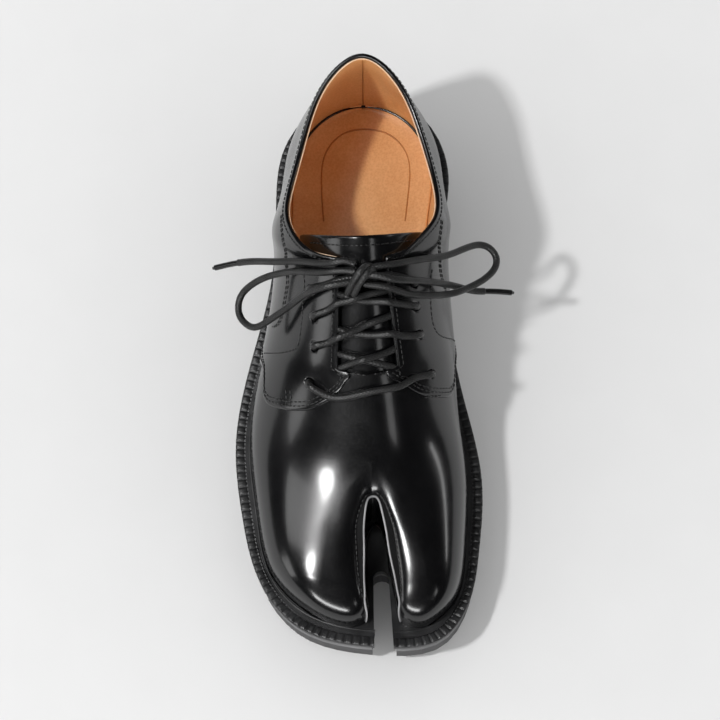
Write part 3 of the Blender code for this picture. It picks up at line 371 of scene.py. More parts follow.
def hole_walls(cut: Array, index: Array, below: int) -> Array:
    """Faces between the upper and lower border of punched holes.

    Args:
        cut: mask of the faces left out of the grid.
        index: vertex numbers of the grid.
        below: what to add to a number for the point under it.

    Returns:
        Four vertex numbers for each face.
    """
    walls = []
    for before, after, a, b in ((cut[:-1], cut[1:], index[1:-1, :-1], index[1:-1, 1:]),
                                (cut[:, 1:], cut[:, :-1], index[:-1, 1:-1], index[1:, 1:-1])):
        for chosen, first, second in ((before & ~after, a, b), (after & ~before, b, a)):
            one, two = first[chosen], second[chosen]
            walls.append(np.stack([one, two, two + below, one + below], axis=-1))
    return np.concatenate(walls)


def slab(name: str, face: Array, normal: Array, thickness: float, rim_slot: int = 0,
         holes: tuple[Array, Array, float] | None = None) -> bpy.types.Mesh:
    """Closed sheet of leather with half-round edges.

    The upper side is the given grid, the lower side the same grid moved back along its normals, and the rim is a
    half circle carried round the grid's border.

    Args:
        name: mesh name.
        face: grid of points of the upper side.
        normal: unit normals there.
        thickness: through the sheet.
        rim_slot: material number of the rim.
        holes: middles, axes and radius of round holes.

    Returns:
        The mesh.
    """
    columns, rows = face.shape[:2]
    count = columns * rows
    index = np.arange(count).reshape(columns, rows)
    border = np.concatenate([index[:-1, 0], index[-1, :-1], index[:0:-1, -1], index[0, :0:-1]])
    quads, walls = grid_quads(columns, rows), np.zeros((0, 4), int)
    if holes is not None:
        face, cut = punch(face, *holes)
        quads, walls = quads[~cut.ravel()], hole_walls(cut, index, count)
    top, up = face.reshape(-1, 3), normal.reshape(-1, 3)
    along = unit(top[np.roll(border, -1)] - top[np.roll(border, 1)])
    out = unit(np.cross(along, up[border]))
    turn = np.radians([30.0, 60.0, 90.0, 120.0, 150.0])[:, None, None]
    radius = thickness / 2
    rim = top[border] - radius * up[border] + radius * (up[border] * np.cos(turn) + out * np.sin(turn))
    between = 2 * count + np.arange(rim.shape[0] * len(border)).reshape(rim.shape[:2])
    rings = np.concatenate([border[None], between, count + border[None]])
    nxt = np.roll(rings, -1, axis=1)
    edge = np.stack([rings[:-1], rings[1:], nxt[1:], nxt[:-1]], axis=-1).reshape(-1, 4)
    points = np.concatenate([top, top - thickness * up, rim.reshape(-1, 3)])
    slots = np.concatenate([np.zeros(2 * len(quads) + len(walls), int), np.full(len(edge), rim_slot)])
    used, faces = np.unique(np.concatenate([quads, quads[:, ::-1] + count, walls, edge]), return_inverse=True)
    return mesh_of(name, points[used], faces.reshape(-1, 4), slots=slots)


def smooth_line(values: Array, reach: int) -> Array:
    """Running mean of a row of numbers over reach on both sides, with its ends carried on."""
    padded = np.pad(values, reach, mode="edge")
    return np.convolve(padded, np.ones(2 * reach + 1) / (2 * reach + 1), mode="valid")


def bell_weights(step: float, width: float) -> Array:
    """Weights of a bell, read out to three widths.

    Args:
        step: distance between the places it is read at.
        width: of the bell.

    Returns:
        An odd number of weights with the sum 1.
    """
    reach = int(3 * width / step)
    weights = np.exp(-0.5 * (np.arange(-reach, reach + 1) * step / width) ** 2)
    return weights / weights.sum()


def relax(line: Array, step: float, bell: float) -> Array:
    """Round off a line with a bell; past its ends the line is carried on by turning it about them.

    Args:
        line: evenly spaced points.
        step: distance between them.
        bell: width of the bell.

    Returns:
        As many points, with the two ends where they were.
    """
    weights = bell_weights(step, bell)
    reach = len(weights) // 2
    padded = np.concatenate([2 * line[0] - line[reach:0:-1], line, 2 * line[-1] - line[-2:-reach - 2:-1]])
    return np.stack([np.convolve(column, weights, mode="valid") for column in padded.T], axis=-1)


def spokes(line: Array, angle: Array) -> Array:
    """Unit vectors square to a line, at angles round it.

    Args:
        line: points of the line.
        angle: angles in radians.

    Returns:
        One row of vectors for each point.
    """
    along = unit(np.gradient(line, axis=0))
    side = unit(np.cross(along, ASKEW))
    other = np.cross(along, side)
    return side[:, None] * np.cos(angle)[:, None] + other[:, None] * np.sin(angle)[:, None]


def carried_ring(line: Array, radius: float, around: int) -> tuple[Array, Array]:
    """Round section carried along a line, closed nearly to a point at both ends.

    Args:
        line: points of the middle line.
        radius: of the section.
        around: points round it.

    Returns:
        Points and faces.
    """
    tip = 0.02
    size = np.full((len(line), 1, 1), radius)
    size[[0, -1]] = tip
    ring = spokes(line, np.arange(around) * 2 * math.pi / around)
    index = np.arange(len(line) * around).reshape(len(line), around)
    nxt = np.roll(index, -1, axis=1)
    quads = np.stack([index[:-1], nxt[:-1], nxt[1:], index[1:]], axis=-1).reshape(-1, 4)
    return (line[:, None] + size * ring).reshape(-1, 3), quads


def bead(name: str, line: Array, radius: float, finish: Finish, around: int = 8) -> None:
    """Make a thin round trim along a line, such as a seam or a cord."""
    dressed(name, mesh_of(name, *carried_ring(line, radius, around)), finish)


def hermite(f: Array, span: Array, ends: tuple[Array, Array], slopes: tuple[Array, Array]) -> Array:
    """Cubic between two values with given slopes.

    Args:
        f: share of the way between them.
        span: the whole way.
        ends: value at the start and at the end.
        slopes: slope at the start and at the end.

    Returns:
        The values at f.
    """
    return ((2 * f ** 3 - 3 * f ** 2 + 1) * ends[0] + (f ** 3 - 2 * f ** 2 + f) * span * slopes[0]
            + (3 * f ** 2 - 2 * f ** 3) * ends[1] + (f ** 3 - f ** 2) * span * slopes[1])


class Spline:
    """Smooth cubic curve through rows of numbers, spaced by chord length in plan, open or closed."""

    def __init__(self, rows: Sequence[Sequence[float]], closed: bool = False) -> None:
        """Solve for the slopes at the rows, natural at open ends.

        Args:
            rows: what the curve goes through; the first two numbers are its place in plan.
            closed: whether it comes back to its first row.
        """
        table = np.asarray(rows, float)
        if closed:
            table = np.vstack([table, table[:1]])
        self.rows = table
        self.steps = np.linalg.norm(np.diff(table[:, :2], axis=0), axis=1)
        self.knots = np.concatenate([[0.0], np.cumsum(self.steps)])
        self.slopes = self._solve(closed)

    def _solve(self, closed: bool) -> Array:
        """Find the slopes that make the second derivative continuous.

        Args:
            closed: whether the curve is closed.

        Returns:
            One row of slopes for each row.
        """
        rows, h = self.rows, self.steps
        count = len(rows)
        system = np.zeros((count, count))
        right = np.zeros_like(rows)
        for i in range(1, count - 1):
            system[i, i - 1:i + 2] = 1 / h[i - 1], 2 / h[i - 1] + 2 / h[i], 1 / h[i]
            right[i] = 3 * (rows[i] - rows[i - 1]) / h[i - 1] ** 2 + 3 * (rows[i + 1] - rows[i]) / h[i] ** 2
        if closed:
            system[0, [-2, 0, 1]] = 1 / h[-1], 2 / h[-1] + 2 / h[0], 1 / h[0]
            right[0] = 3 * (rows[0] - rows[-2]) / h[-1] ** 2 + 3 * (rows[1] - rows[0]) / h[0] ** 2
            system[-1, [0, -1]] = 1, -1
        else:
            system[0, :2] = 2, 1
            right[0] = 3 * (rows[1] - rows[0]) / h[0]
            system[-1, -2:] = 1, 2
            right[-1] = 3 * (rows[-1] - rows[-2]) / h[-1]
        return np.linalg.solve(system, right)

    def at(self, knot: Array | float) -> Array:
        """Read the curve: each stretch is the cubic set by its two rows and slopes.

        Args:
            knot: distances along the knots.

        Returns:
            One row for each.
        """
        knot = np.asarray(knot, float)
        i = np.clip(np.searchsorted(self.knots, knot, side="right") - 1, 0, len(self.steps) - 1)
        h = self.steps[i][..., None]
        f = (knot - self.knots[i])[..., None] / h
        return hermite(f, h, (self.rows[i], self.rows[i + 1]), (self.slopes[i], self.slopes[i + 1]))

    def outward(self, knot: Array | float) -> Array:
        """Turn the slope in plan a quarter turn, which points outward on a curve that runs anticlockwise.

        Args:
            knot: distances along the knots.

        Returns:
            Unit normals in plan.
        """
        near = 0.01
        knot = np.asarray(knot, float)
        slope = (self.at(knot + near) - self.at(knot - near))[..., :2]
        return unit(np.stack([slope[..., 1], -slope[..., 0]], axis=-1))

    def even(self, step: float) -> Array:
        """Measure an open curve out in space.

        Args:
            step: distance between points, about.

        Returns:
            Evenly spaced points.
        """
        fine = self.at(np.linspace(0.0, self.knots[-1], 40 * len(self.rows)))[:, :3]
        length = way_along(fine)
        return read_at(np.linspace(0.0, length[-1], max(4, int(length[-1] / step)) + 1), length, fine)


def steady_curve(knots: Sequence[float], values: Sequence[float], where: Array) -> Array:
    """Cubic through values that never swings past them: each slope is the harmonic mean of those beside it.

    Args:
        knots: rising places.
        values: one for each knot.
        where: places to read.

    Returns:
        The values there.
    """
    x, y = np.asarray(knots, float), np.asarray(values, float)
    rise = np.diff(y) / np.diff(x)
    slopes = np.concatenate([[rise[0]], np.zeros(len(rise) - 1), [rise[-1]]])
    same = rise[:-1] * rise[1:] > 0
    slopes[1:-1][same] = 2 * rise[:-1][same] * rise[1:][same] / (rise[:-1][same] + rise[1:][same])
    i = np.clip(np.searchsorted(x, where, side="right") - 1, 0, len(rise) - 1)
    h = x[i + 1] - x[i]
    return hermite((where - x[i]) / h, h, (y[i], y[i + 1]), (slopes[i], slopes[i + 1]))


def bezier(points: Sequence[Array], t: Array | float) -> Array:
    """Cubic Bezier curve.

    Args:
        points: four rows of control points.
        t: way along it, from 0 to 1.

    Returns:
        Points on the curve.
    """
    a, b, c, d = (np.asarray(p, float) for p in points)
    t = np.asarray(t, float)[..., None]
    return a * (1 - t) ** 3 + 3 * b * t * (1 - t) ** 2 + 3 * c * t ** 2 * (1 - t) + d * t ** 3


def smooth_ramp(value: Array | float, start: float, end: float) -> Array:
    """0 before start, 1 after end, eased between."""
    f = np.clip((np.asarray(value, float) - start) / (end - start), 0.0, 1.0)
    return f * f * (3 - 2 * f)


@dataclass
class SoleShape:
    """Outline and heights of the sole stack, as in the part's source."""

    # across, along, width of welt that shows
    outline: tuple = (
        (1.0, 128.0, 5.5), (-22.0, 119.3, 5.8), (-34.6, 100.5, 6.0), (-37.4, 75.0, 6.0), (-38.6, 42.0, 6.0),
        (-46.9, 6.5, 6.6), (-53.8, -32.0, 7.0), (-50.4, -67.0, 7.2), (-42.2, -97.0, 6.0), (-25.6, -118.3, 8.0),
        (9.0, -128.0, 8.2), (37.6, -123.4, 8.0), (48.2, -107.5, 5.8), (52.9, -82.0, 6.4), (54.0, -50.0, 7.0),
        (44.6, -6.5, 6.4), (38.4, 30.0, 5.2), (36.9, 64.0, 5.8), (39.2, 88.0, 6.0), (26.2, 118.0, 5.8),
    )
    toe_front: int = 10               # row of the outline that the cleft takes the place of
    # edge of the cleft in plan, from the lateral lobe to the medial one
    cleft: tuple = (
        (-8.0, -118.4), (2.3, -118.0), (4.9, -115.2), (4.5, -105.0), (3.9, -88.0), (4.4, -74.8), (7.8, -70.4),
        (11.3, -74.8), (13.8, -90.0), (16.6, -105.0), (18.2, -114.8), (20.8, -118.0), (30.4, -118.6),
    )
    crotch: int = 6                   # its innermost row
    # slot in the sole's toe: place along, middle and half width
    slot: tuple = ((-150.0, 12.3, 4.4), (-128.0, 12.0, 4.2), (-96.0, 10.4, 3.4))
    forefoot_height: float = 18.0
    heel_lift: float = 12.0
    toe_spring: float = 7.0
    toe_end: float = -128.0
    spring_start: float = -68.0
    lift_start: float = -28.0
    lift_end: float = 68.0

    def __post_init__(self) -> None:
        """Draw the outline and, inside it, the line where the upper meets the welt."""
        self.curve = Spline(self.outline, closed=True)
        rows: list = []
        for i, (place, knot) in enumerate(zip(self.outline, self.curve.knots)):
            if i == self.toe_front:
                rows += list(self.cleft)
            else:
                rows.append(tuple(np.array(place[:2]) - place[2] * self.curve.outward(knot)))
        self.feather = Spline(rows, closed=True)

    def toe_rise(self, y: Array | float) -> Array:
        """Height of the tread above the floor at the toe: it grows with the square of the way."""
        way = (self.spring_start - np.asarray(y, float)) / (self.spring_start - self.toe_end)
        return self.toe_spring * np.clip(way, 0.0, None) ** 2

    def welt_top(self, y: Array | float) -> Array:
        """Height of the welt's inner strip."""
        return (self.forefoot_height + self.toe_rise(y)
                + self.heel_lift * smooth_ramp(y, self.lift_start, self.lift_end))


# Stations round the upper: name, run of the edge, place along it, rise, lean, reach and, on the collar,
# heading and dip
STATIONS = (
    ("heel back", "lateral", 122.3, 0.40, 8.0, 0.40, 90.0, 80.0),
    ("ankle lateral", "lateral", 80.0, 0.42, 9.0, 0.42, 182.0, 76.0),
    ("collar front lateral", "lateral", 58.0, 0.42, 16.0, 0.46, 184.0, 60.0),
    ("facing top lateral", "lateral", 44.0, 0.42, 25.0, 0.68, 0.0, 0.0),
    ("facing foot lateral", "lateral", 4.0, 0.45, 15.0, 0.65, 0.0, 0.0),
    ("throat lateral", "lateral", -4.0, 0.46, 14.0, 0.65, 0.0, 0.0),
    ("fork lateral", "lateral", -37.0, 0.54, 12.0, 0.62, 0.0, 0.0),
    ("pole outer lateral", "lateral", -100.0, 0.66, 8.0, 0.66, 0.0, 0.0),
    ("pole front lateral", "lateral", -118.2, 0.68, 6.0, 0.66, 0.0, 0.0),
    ("pole inner lateral", "lateral wall", -106.0, 0.86, 1.0, 0.86, 0.0, 0.0),
    ("wall lateral", "lateral wall", -81.0, 0.86, -2.0, 0.82, 0.0, 0.0),
    ("crotch", "lateral wall", -70.6, 0.82, -6.0, 0.58, 0.0, 0.0),
    ("wall medial", "medial wall", -81.0, 0.86, -2.0, 0.82, 0.0, 0.0),
    ("pole inner medial", "medial wall", -106.0, 0.86, 1.0, 0.84, 0.0, 0.0),
    ("pole front medial", "medial", -118.3, 0.68, 6.0, 0.66, 0.0, 0.0),
    ("pole outer medial", "medial", -102.0, 0.66, 8.0, 0.66, 0.0, 0.0),
    ("fork medial", "medial", -35.0, 0.54, 18.0, 0.65, 0.0, 0.0),
    ("throat medial", "medial", -2.0, 0.46, 42.0, 0.80, 0.0, 0.0),
    ("facing foot medial", "medial", 8.0, 0.45, 44.0, 0.81, 0.0, 0.0),
    ("facing top medial", "medial", 46.0, 0.42, 40.0, 0.82, 0.0, 0.0),
    ("collar front medial", "medial", 60.0, 0.42, 25.0, 0.50, 356.0, 60.0),
    ("ankle medial", "medial", 82.0, 0.42, 11.0, 0.42, 358.0, 76.0),
)
ROUND = len(STATIONS)
PLACE = {row[0]: i for i, row in enumerate(STATIONS)}
RISE, LEAN, REACH, HEADING, DIP = range(3, 8)     # columns of the table
# Lateral stations by number; ROUND less such a number is the same place on the medial side
FACING_TOP, FACING_FOOT, THROAT, FORK, POLE, POLE_INNER, CROTCH = (PLACE[name] for name in (
    "facing top lateral", "facing foot lateral", "throat lateral", "fork lateral", "pole outer lateral",
    "pole inner lateral", "crotch"))


@dataclass
class Last:
    """The form the leather is drawn over: Bezier ribs that rise from the welt to the collar or to the crest.

    A rib starts on the line where the upper meets the welt, leans out by its station's angle and arrives at the
    top along a direction in the plane of the crest. Stations count round the shoe from the back of the heel.
    """

    sole: SoleShape
    collar: tuple = (
        (-15.7, 27.0, 90.3), (-25.0, 36.8, 85.4), (-29.6, 50.0, 79.4), (-27.3, 70.0, 75.2),
        (-22.0, 91.0, 77.4), (-12.6, 111.8, 83.6), (2.0, 121.0, 87.6), (16.2, 112.0, 83.2),
        (26.6, 91.0, 76.8), (32.7, 70.0, 74.6), (33.6, 49.0, 79.6), (26.6, 36.4, 86.0), (18.6, 27.4, 90.3))
    collar_rows: tuple = (7, 4.0, 2.8, 0, 14, 11.2, 10.0, 7)     # rows over the stations, down each side
    facing_lateral: tuple = ((-7.4, -20.0), (-6.5, 21.4))
    facing_medial: tuple = ((17.9, -20.0), (12.6, 21.4))
    instep: tuple = (3.2, 23.4, 94.6)
    throat: tuple = (5.3, -20.8, 70.6)
    crest_handle: tuple = (6.2, -38.0, 61.2)
    fork: tuple = (6.8, -54.0, 52.6)
    branch_lateral: tuple = ((-1.0, -61.0, 48.9), (-15.0, -78.0, 48.2), (-14.5, -103.0, 40.6))
    branch_medial: tuple = ((14.6, -61.0, 48.9), (28.4, -80.0, 48.8), (30.6, -104.0, 41.0))
    fork_ease: float = 0.6            # share of a branch over which its normal leaves the fork's
    corner_share: float = 0.97        # way down the instep of the facings' feet
    spare: float = 0.6                # stations past the facings' tops to which crest ribs are worked out
    fineness: int = 96                # stored ribs in each station
    ease: float = 0.16                # stations over which the handles are smoothed
    valley: float = 0.22              # share of the crest over which the bend at the fork is spread
    shift_rows: int = 81              # heights at which the rounding off is stored
    bell: float = 6.0                 # millimetres along the shoe over which breaks are rounded off

    def __post_init__(self) -> None:
        """Store closely spaced ribs, with their two handles smoothed along the shoe."""
        self._feet = self._station_feet()
        self._marks = self._chain_marks()
        fork = self._marks[0]
        self._spans = {"instep": (0.0, 1.0), "middle": (1.0, fork),
                       "lateral": self._marks, "medial": self._marks}
        self._lift_table = self._crest_lift()
        self._corner = self._edge_share(np.array([FACING_FOOT, ROUND - FACING_FOOT], float))
        self._collar_values, tops = self._collar_stations()
        self._collar_curve = Spline([tops[0], *self.collar, tops[1]])
        past = 1.0
        q = np.arange(round((ROUND + 2 * past) * self.fineness) + 1) / self.fineness - past
        on_crest = np.clip(q, FACING_TOP - self.spare, ROUND - FACING_TOP + self.spare)
        crest = self._ease_handles(np.stack(self.crest_ribs(on_crest)), np.full(len(q), self.ease))
        round_q = np.mod(q, ROUND)
        crest = np.stack(self._shorten(tuple(crest), self._leather_share(round_q)))
        on_collar = ((round_q < FACING_TOP) | (round_q > ROUND - FACING_TOP))[None, :, None]
        ribs = np.where(on_collar, np.stack(self._collar_ribs(round_q)), crest)
        near = np.minimum(np.abs(round_q - FACING_TOP), np.abs(round_q - (ROUND - FACING_TOP)))
        ribs = self._ease_handles(ribs, 0.02 + 0.2 * (1 - smooth_ramp(near, 0.25, 0.8)))
        keep = slice(round(past * self.fineness), round((ROUND + past) * self.fineness) + 1)
        self._ribs = ribs[:, keep]
        self._shift = self._round_off()

    def _round_off(self) -> Array:
        """Shift that rounds off the breaks between neighbouring ribs.

        The points at one height make a line along the shoe. It is measured out evenly and smoothed with a bell,
        and the shift is how far that moves it, faded out at welt, top edge, heel and poles.

        Returns:
            The shift at every stored rib and height.
        """
        height = np.linspace(0.0, 1.0, self.shift_rows)
        points = bezier([c[:, None] for c in self._ribs], height)
        place = np.arange(points.shape[0]) / self.fineness
        fold = np.minimum(place, ROUND - place)
        shift, step, ends = np.zeros_like(points), 0.5, (1.5, 6.95)
        heel_fade, pole_fade, welt_fade, top_fade = (1.8, 2.4), (6.55, 6.9), (0.04, 0.2), (0.86, 0.99)
        for side in (place < ROUND / 2, place > ROUND / 2):
            part = np.flatnonzero(side & (fold > ends[0]) & (fold < ends[1]))
            for row in range(self.shift_rows):
                line = points[part, row]
                way = way_along(line)
                even = np.arange(0.0, way[-1], step)
                moved = read_at(even, way, line)
                shift[part, row] = read_at(way, even, relax(moved, step, self.bell) - moved)
        along = smooth_ramp(fold, *heel_fade) * (1 - smooth_ramp(fold, *pole_fade))
        up = smooth_ramp(height, *welt_fade) * (1 - smooth_ramp(height, *top_fade))
        return shift * along[:, None, None] * up[:, None]

    def _ease_handles(self, ribs: Array, ease: Array) -> Array:
        """Smooth the two handles of neighbouring ribs with a bell.

        Args:
            ribs: four control points of each rib.
            ease: width of the bell at each rib, in stations.

        Returns:
            The ribs with smoothed handles.
        """
        reach = int(3 * ease.max() * self.fineness)
        offsets = np.arange(-reach, reach + 1)
        weights = np.exp(-0.5 * (offsets[:, None] / (ease * self.fineness)) ** 2)
        weights /= weights.sum(axis=0)
        padded = np.pad(ribs[1:3], ((0, 0), (reach, reach), (0, 0)), mode="edge")
        count = ribs.shape[1]
        ribs = ribs.copy()
        ribs[1:3] = sum(w[:, None] * padded[:, k:k + count] for k, w in enumerate(weights))
        return ribs

    def _crest_lift(self) -> tuple[Array, Array]:
        """How far the crest is lifted to spread its bend at the fork: its smoothed height less its own.

        Returns:
            Places on the chain and the lift there.
        """
        fork, pole = self._marks
        chain = np.linspace(-0.5, pole, 900)
        height = np.where(chain <= 1, self.crest("instep", chain)[:, 2],
                          self.crest("middle", np.clip((chain - 1) / (fork - 1), 0, 1))[:, 2])
        share = np.clip((chain - fork) / (pole - fork), 0, 1)
        branch = (self.crest("lateral", share)[:, 2] + self.crest("medial", share)[:, 2]) / 2
        height = np.where(chain > fork, branch, height)
        step = chain[1] - chain[0]
        bell = bell_weights(step, self.valley)
        reach = len(bell) // 2
        ends = [height[0] + (height[0] - height[1]) * np.arange(reach, 0, -1),
                height[-1] + (height[-1] - height[-2]) * np.arange(1, reach + 1)]
        smooth = np.convolve(np.concatenate([ends[0], height, ends[1]]), bell, mode="valid")
        window = smooth_ramp(chain, 0.95, 1.45) * (1 - smooth_ramp(chain, pole - 0.3, pole))
        return chain, (smooth - height) * window

    def _lift(self, chain: Array) -> Array:
        """Lift of the crest at places on the chain."""
        return np.interp(chain, *self._lift_table)

    def _station_feet(self) -> Array:
        """Knot on the feather line under each station, and the closing one.

        Returns:
            The knots.
        """
        feather = self.sole.feather
        first, last = self.sole.toe_front, self.sole.toe_front + len(self.sole.cleft) - 1
        crotch = first + self.sole.crotch
        ends = {"lateral": (0, first), "lateral wall": (first, crotch), "medial wall": (crotch, last),
                "medial": (last, len(feather.knots) - 1)}
        feet = []
        for _, run, along, *_ in STATIONS:
            knot = np.linspace(*(feather.knots[i] for i in ends[run]), 400)
            y = feather.at(knot)[:, 1]
            order = np.argsort(y)
            feet.append(float(np.interp(along, y[order], knot[order])))
        feet[0] = 0.0
        return np.array(feet + [feather.knots[-1]])

    def crest(self, name: str, w: Array) -> Array:
        """Crest of the vamp: the instep's straight line, the throat-to-fork curve or a branch to its pole.

        Args:
            name: instep, middle, lateral or medial.
            w: share of the way along it.

        Returns:
            Points on the crest.
        """
        if name == "instep":
            w = np.asarray(w, float)[..., None]
            return np.array(self.instep) * (1 - w) + np.array(self.throat) * w
        if name == "middle":
            a, h, b = (np.array(p) for p in (self.throat, self.crest_handle, self.fork))
            return bezier((a, (a + 2 * h) / 3, (b + 2 * h) / 3, b), w)
        return bezier((self.fork, *(self.branch_lateral if name == "lateral" else self.branch_medial)), w)

    def _crest_frame(self, name: str, w: Array) -> tuple[Array, Array, Array]:
        """Level directions along a crest to the toe and to its lateral side, and its normal.

        Args:
            name: which crest.
            w: share of the way along it.

        Returns:
            The two directions and the normal.
        """
        near = 0.01
        ends = np.clip(w - near, -1, 1), np.clip(w + near, -1, 1)
        along = self.crest(name, ends[1]) - self.crest(name, ends[0])
        first, last = self._spans[name]
        along[..., 2] += np.subtract(*(self._lift(first + (last - first) * end) for end in ends[::-1]))
        zero = np.zeros(along.shape[:-1])
        side = unit(np.stack([along[..., 1], -along[..., 0], zero], axis=-1))
        ahead = np.stack([-side[..., 1], side[..., 0], zero], axis=-1)
        normal = unit(np.cross(side, along))
        if name in ("lateral", "medial"):
            ease = smooth_ramp(w, 0.0, self.fork_ease)[..., None]
            normal = normal * ease + self._crest_frame("middle", np.array(1.0))[2] * (1 - ease)
        return ahead, side, normal

    def _swing(self, name: str) -> float:
        """Degrees by which a branch leaves the fork towards the lateral side.

        Args:
            name: which branch.

        Returns:
            The degrees.
        """
        a = self._crest_frame("middle", np.array(1.0))[0]
        b = self._crest_frame(name, np.array(0.0))[0]
        return math.degrees(math.atan2(-b[0], -b[1]) - math.atan2(-a[0], -a[1]))

    def _chain_marks(self) -> tuple[float, float]:
        """Fork and poles on the chain of crests, which counts 0 at the instep's top and 1 at the throat.

        Each stretch is as long as it must be for the speed along the crest to stay the same where two meet.

        Returns:
            Fork and poles.
        """
        top, throat, handle, fork = np.array((self.instep, self.throat, self.crest_handle, self.fork))
        middle = 2 * np.linalg.norm(handle - throat) / np.linalg.norm(throat - top)
        speed = 2 * np.linalg.norm(fork - handle) / middle
        branches = self.branch_lateral, self.branch_medial
        starts = [3 * np.linalg.norm(np.array(branch[0]) - fork) for branch in branches]
        return 1.0 + middle, 1.0 + middle + float(np.mean(starts)) / speed

    def _on_chain(self, place: Array) -> Array:
        """Where a rib's top stands on the chain.

        Args:
            place: stations folded on to the lateral side.

        Returns:
            Places on the chain.
        """
        fork, pole = self._marks
        outer = steady_curve((FACING_TOP, FACING_FOOT, THROAT, FORK, POLE),
                             (0.0, self.corner_share, 1.0, fork, pole), np.clip(place, FACING_TOP, POLE))
        outer = outer + self.corner_share * np.minimum(place - FACING_TOP, 0.0)
        inner = fork + (pole - fork) * (CROTCH - place) / (CROTCH - POLE_INNER)
        return np.where(place > POLE_INNER, inner, outer)

    def across_cleft(self, outer: Array) -> Array:
        """Stations in the cleft's lateral wall whose ribs end where those of outer stations do.

        Args:
            outer: stations from the fork to the pole.

        Returns:
            Stations from the crotch to the inner side of the pole.
        """
        fork, pole = self._marks
        return CROTCH - (CROTCH - POLE_INNER) * (self._on_chain(outer) - fork) / (pole - fork)

    def _column(self, column: int, q: Array) -> Array:
        """A station value at any place round the shoe."""
        values = [row[column] for row in STATIONS]
        return steady_curve(np.arange(ROUND + 1), values + values[:1], q)

    def _rib_feet(self, q: Array) -> tuple[Array, Array]:
        """Knot on the feather line and the point on the welt where each rib starts.

        Args:
            q: stations.

        Returns:
            Knots and points.
        """
        knot = steady_curve(np.arange(ROUND + 1), self._feet, q)
        plan = self.sole.feather.at(knot)[..., :2]
        return knot, np.concatenate([plan, self.sole.welt_top(plan[..., 1])[..., None]], axis=-1)

    def _handles(self, q: Array, top: Array, over: Array, rise: Array, reach: Array) -> tuple:
        """Bezier control points of ribs that end at top, arriving against the direction over.

        Args:
            q: stations.
            top: where the ribs end.
            over: direction from there back along each rib.
            rise: height of the lower handle, as a share of the rib's.
            reach: length of the upper handle, as a share of the way out.

        Returns:
            Four control points of each rib.
        """
        knot, start = self._rib_feet(q)
        lean = np.radians(self._column(LEAN, q))[..., None]
        up = (rise * (top - start)[..., 2])[..., None]
        back = (reach * np.sum((start - top) * over, axis=-1))[..., None]
        upright = np.concatenate([self.sole.feather.outward(knot) * np.sin(lean), np.cos(lean)], axis=-1)
        return start, start + upright * up, top + over * back, top

    def crest_ribs(self, q: Array) -> tuple:
        """Ribs that run up to a crest, the instep's among them; a little way past its stations too.

        A rib arrives square to the crest, turned by what is left of the branch's swing; at the poles and in the
        cleft it arrives from its own foot.

        Args:
            q: stations.

        Returns:
            Four control points of each rib.
        """
        _, start = self._rib_feet(q)
        lateral = q < CROTCH
        place = np.where(lateral, q, ROUND - q)
        chain = self._on_chain(place)
        fork = self._marks[0]
        sign = np.where(lateral, 1.0, -1.0)
        top, over = np.zeros(q.shape + (3,)), np.zeros(q.shape + (3,))
        for name, here in (("instep", chain <= 1), ("middle", (chain > 1) & (chain <= fork)),
                           ("lateral", (chain > fork) & lateral), ("medial", (chain > fork) & ~lateral)):
            first, last = self._spans[name]
            share = np.clip((chain - first) / (last - first), -1.0, 1.0)
            ahead, side, normal = self._crest_frame(name, share)
            crest = self.crest(name, share)
            crest[..., 2] += self._lift(chain)
            swing = self._swing(name) if name in ("lateral", "medial") else 0.0
            out = start - crest
            free = np.arctan2(np.sum(out * side, axis=-1), np.sum(out * ahead, axis=-1))
            turn = np.where(place > POLE, free, np.radians(90.0 * sign - swing * (1 - share)))[..., None]
            level = ahead * np.cos(turn) + side * np.sin(turn)
            level[..., 2] = -np.sum(level * normal, axis=-1) / normal[..., 2]
            top = np.where(here[..., None], crest, top)
            over = np.where(here[..., None], unit(level), over)
        return self._handles(q, top, over, self._column(RISE, q), self._column(REACH, q))

    @staticmethod
    def _shorten(controls: tuple, share: Array) -> tuple:
        """Control points of the first share of a Bezier curve.

        Args:
            controls: the four points of each curve.
            share: how much of each is kept.

        Returns:
            Four points of the shorter curves.
        """
        a, b, c, d = controls
        f = share[..., None]
        ab, bc, cd = a + (b - a) * f, b + (c - b) * f, c + (d - c) * f
        abc, bcd = ab + (bc - ab) * f, bc + (cd - bc) * f
        return a, ab, abc, abc + (bcd - abc) * f

    def _edge_share(self, q: Array) -> Array:
        """Share of a crest rib that lies outside the edge of its facing, found by halving.

        Args:
            q: stations.

        Returns:
            The shares.
        """
        controls = self.crest_ribs(q)
        low, high = np.full(q.shape, 0.5), np.ones(q.shape)
        for _ in range(30):
            middle = (low + high) / 2
            point = bezier(controls, middle)
            lateral, medial = (np.interp(point[..., 1], [p[1] for p in edge], [p[0] for p in edge])
                               for edge in (self.facing_lateral, self.facing_medial))
            outside = np.where(q < CROTCH, point[..., 0] < lateral, point[..., 0] > medial)
            low, high = np.where(outside, middle, low), np.where(outside, high, middle)
        return low

    def _leather_share(self, q: Array) -> Array:
        """Share of a crest rib that is leather: all of it but where the throat is open.

        Args:
            q: stations.

        Returns:
            The shares.
        """
        marks = [FACING_FOOT, THROAT, ROUND - THROAT, ROUND - FACING_FOOT]
        throat = np.interp(q, marks, [self._corner[0], 1.0, 1.0, self._corner[1]])
        return np.where((q < marks[0]) | (q > marks[-1]), self._edge_share(q), throat)

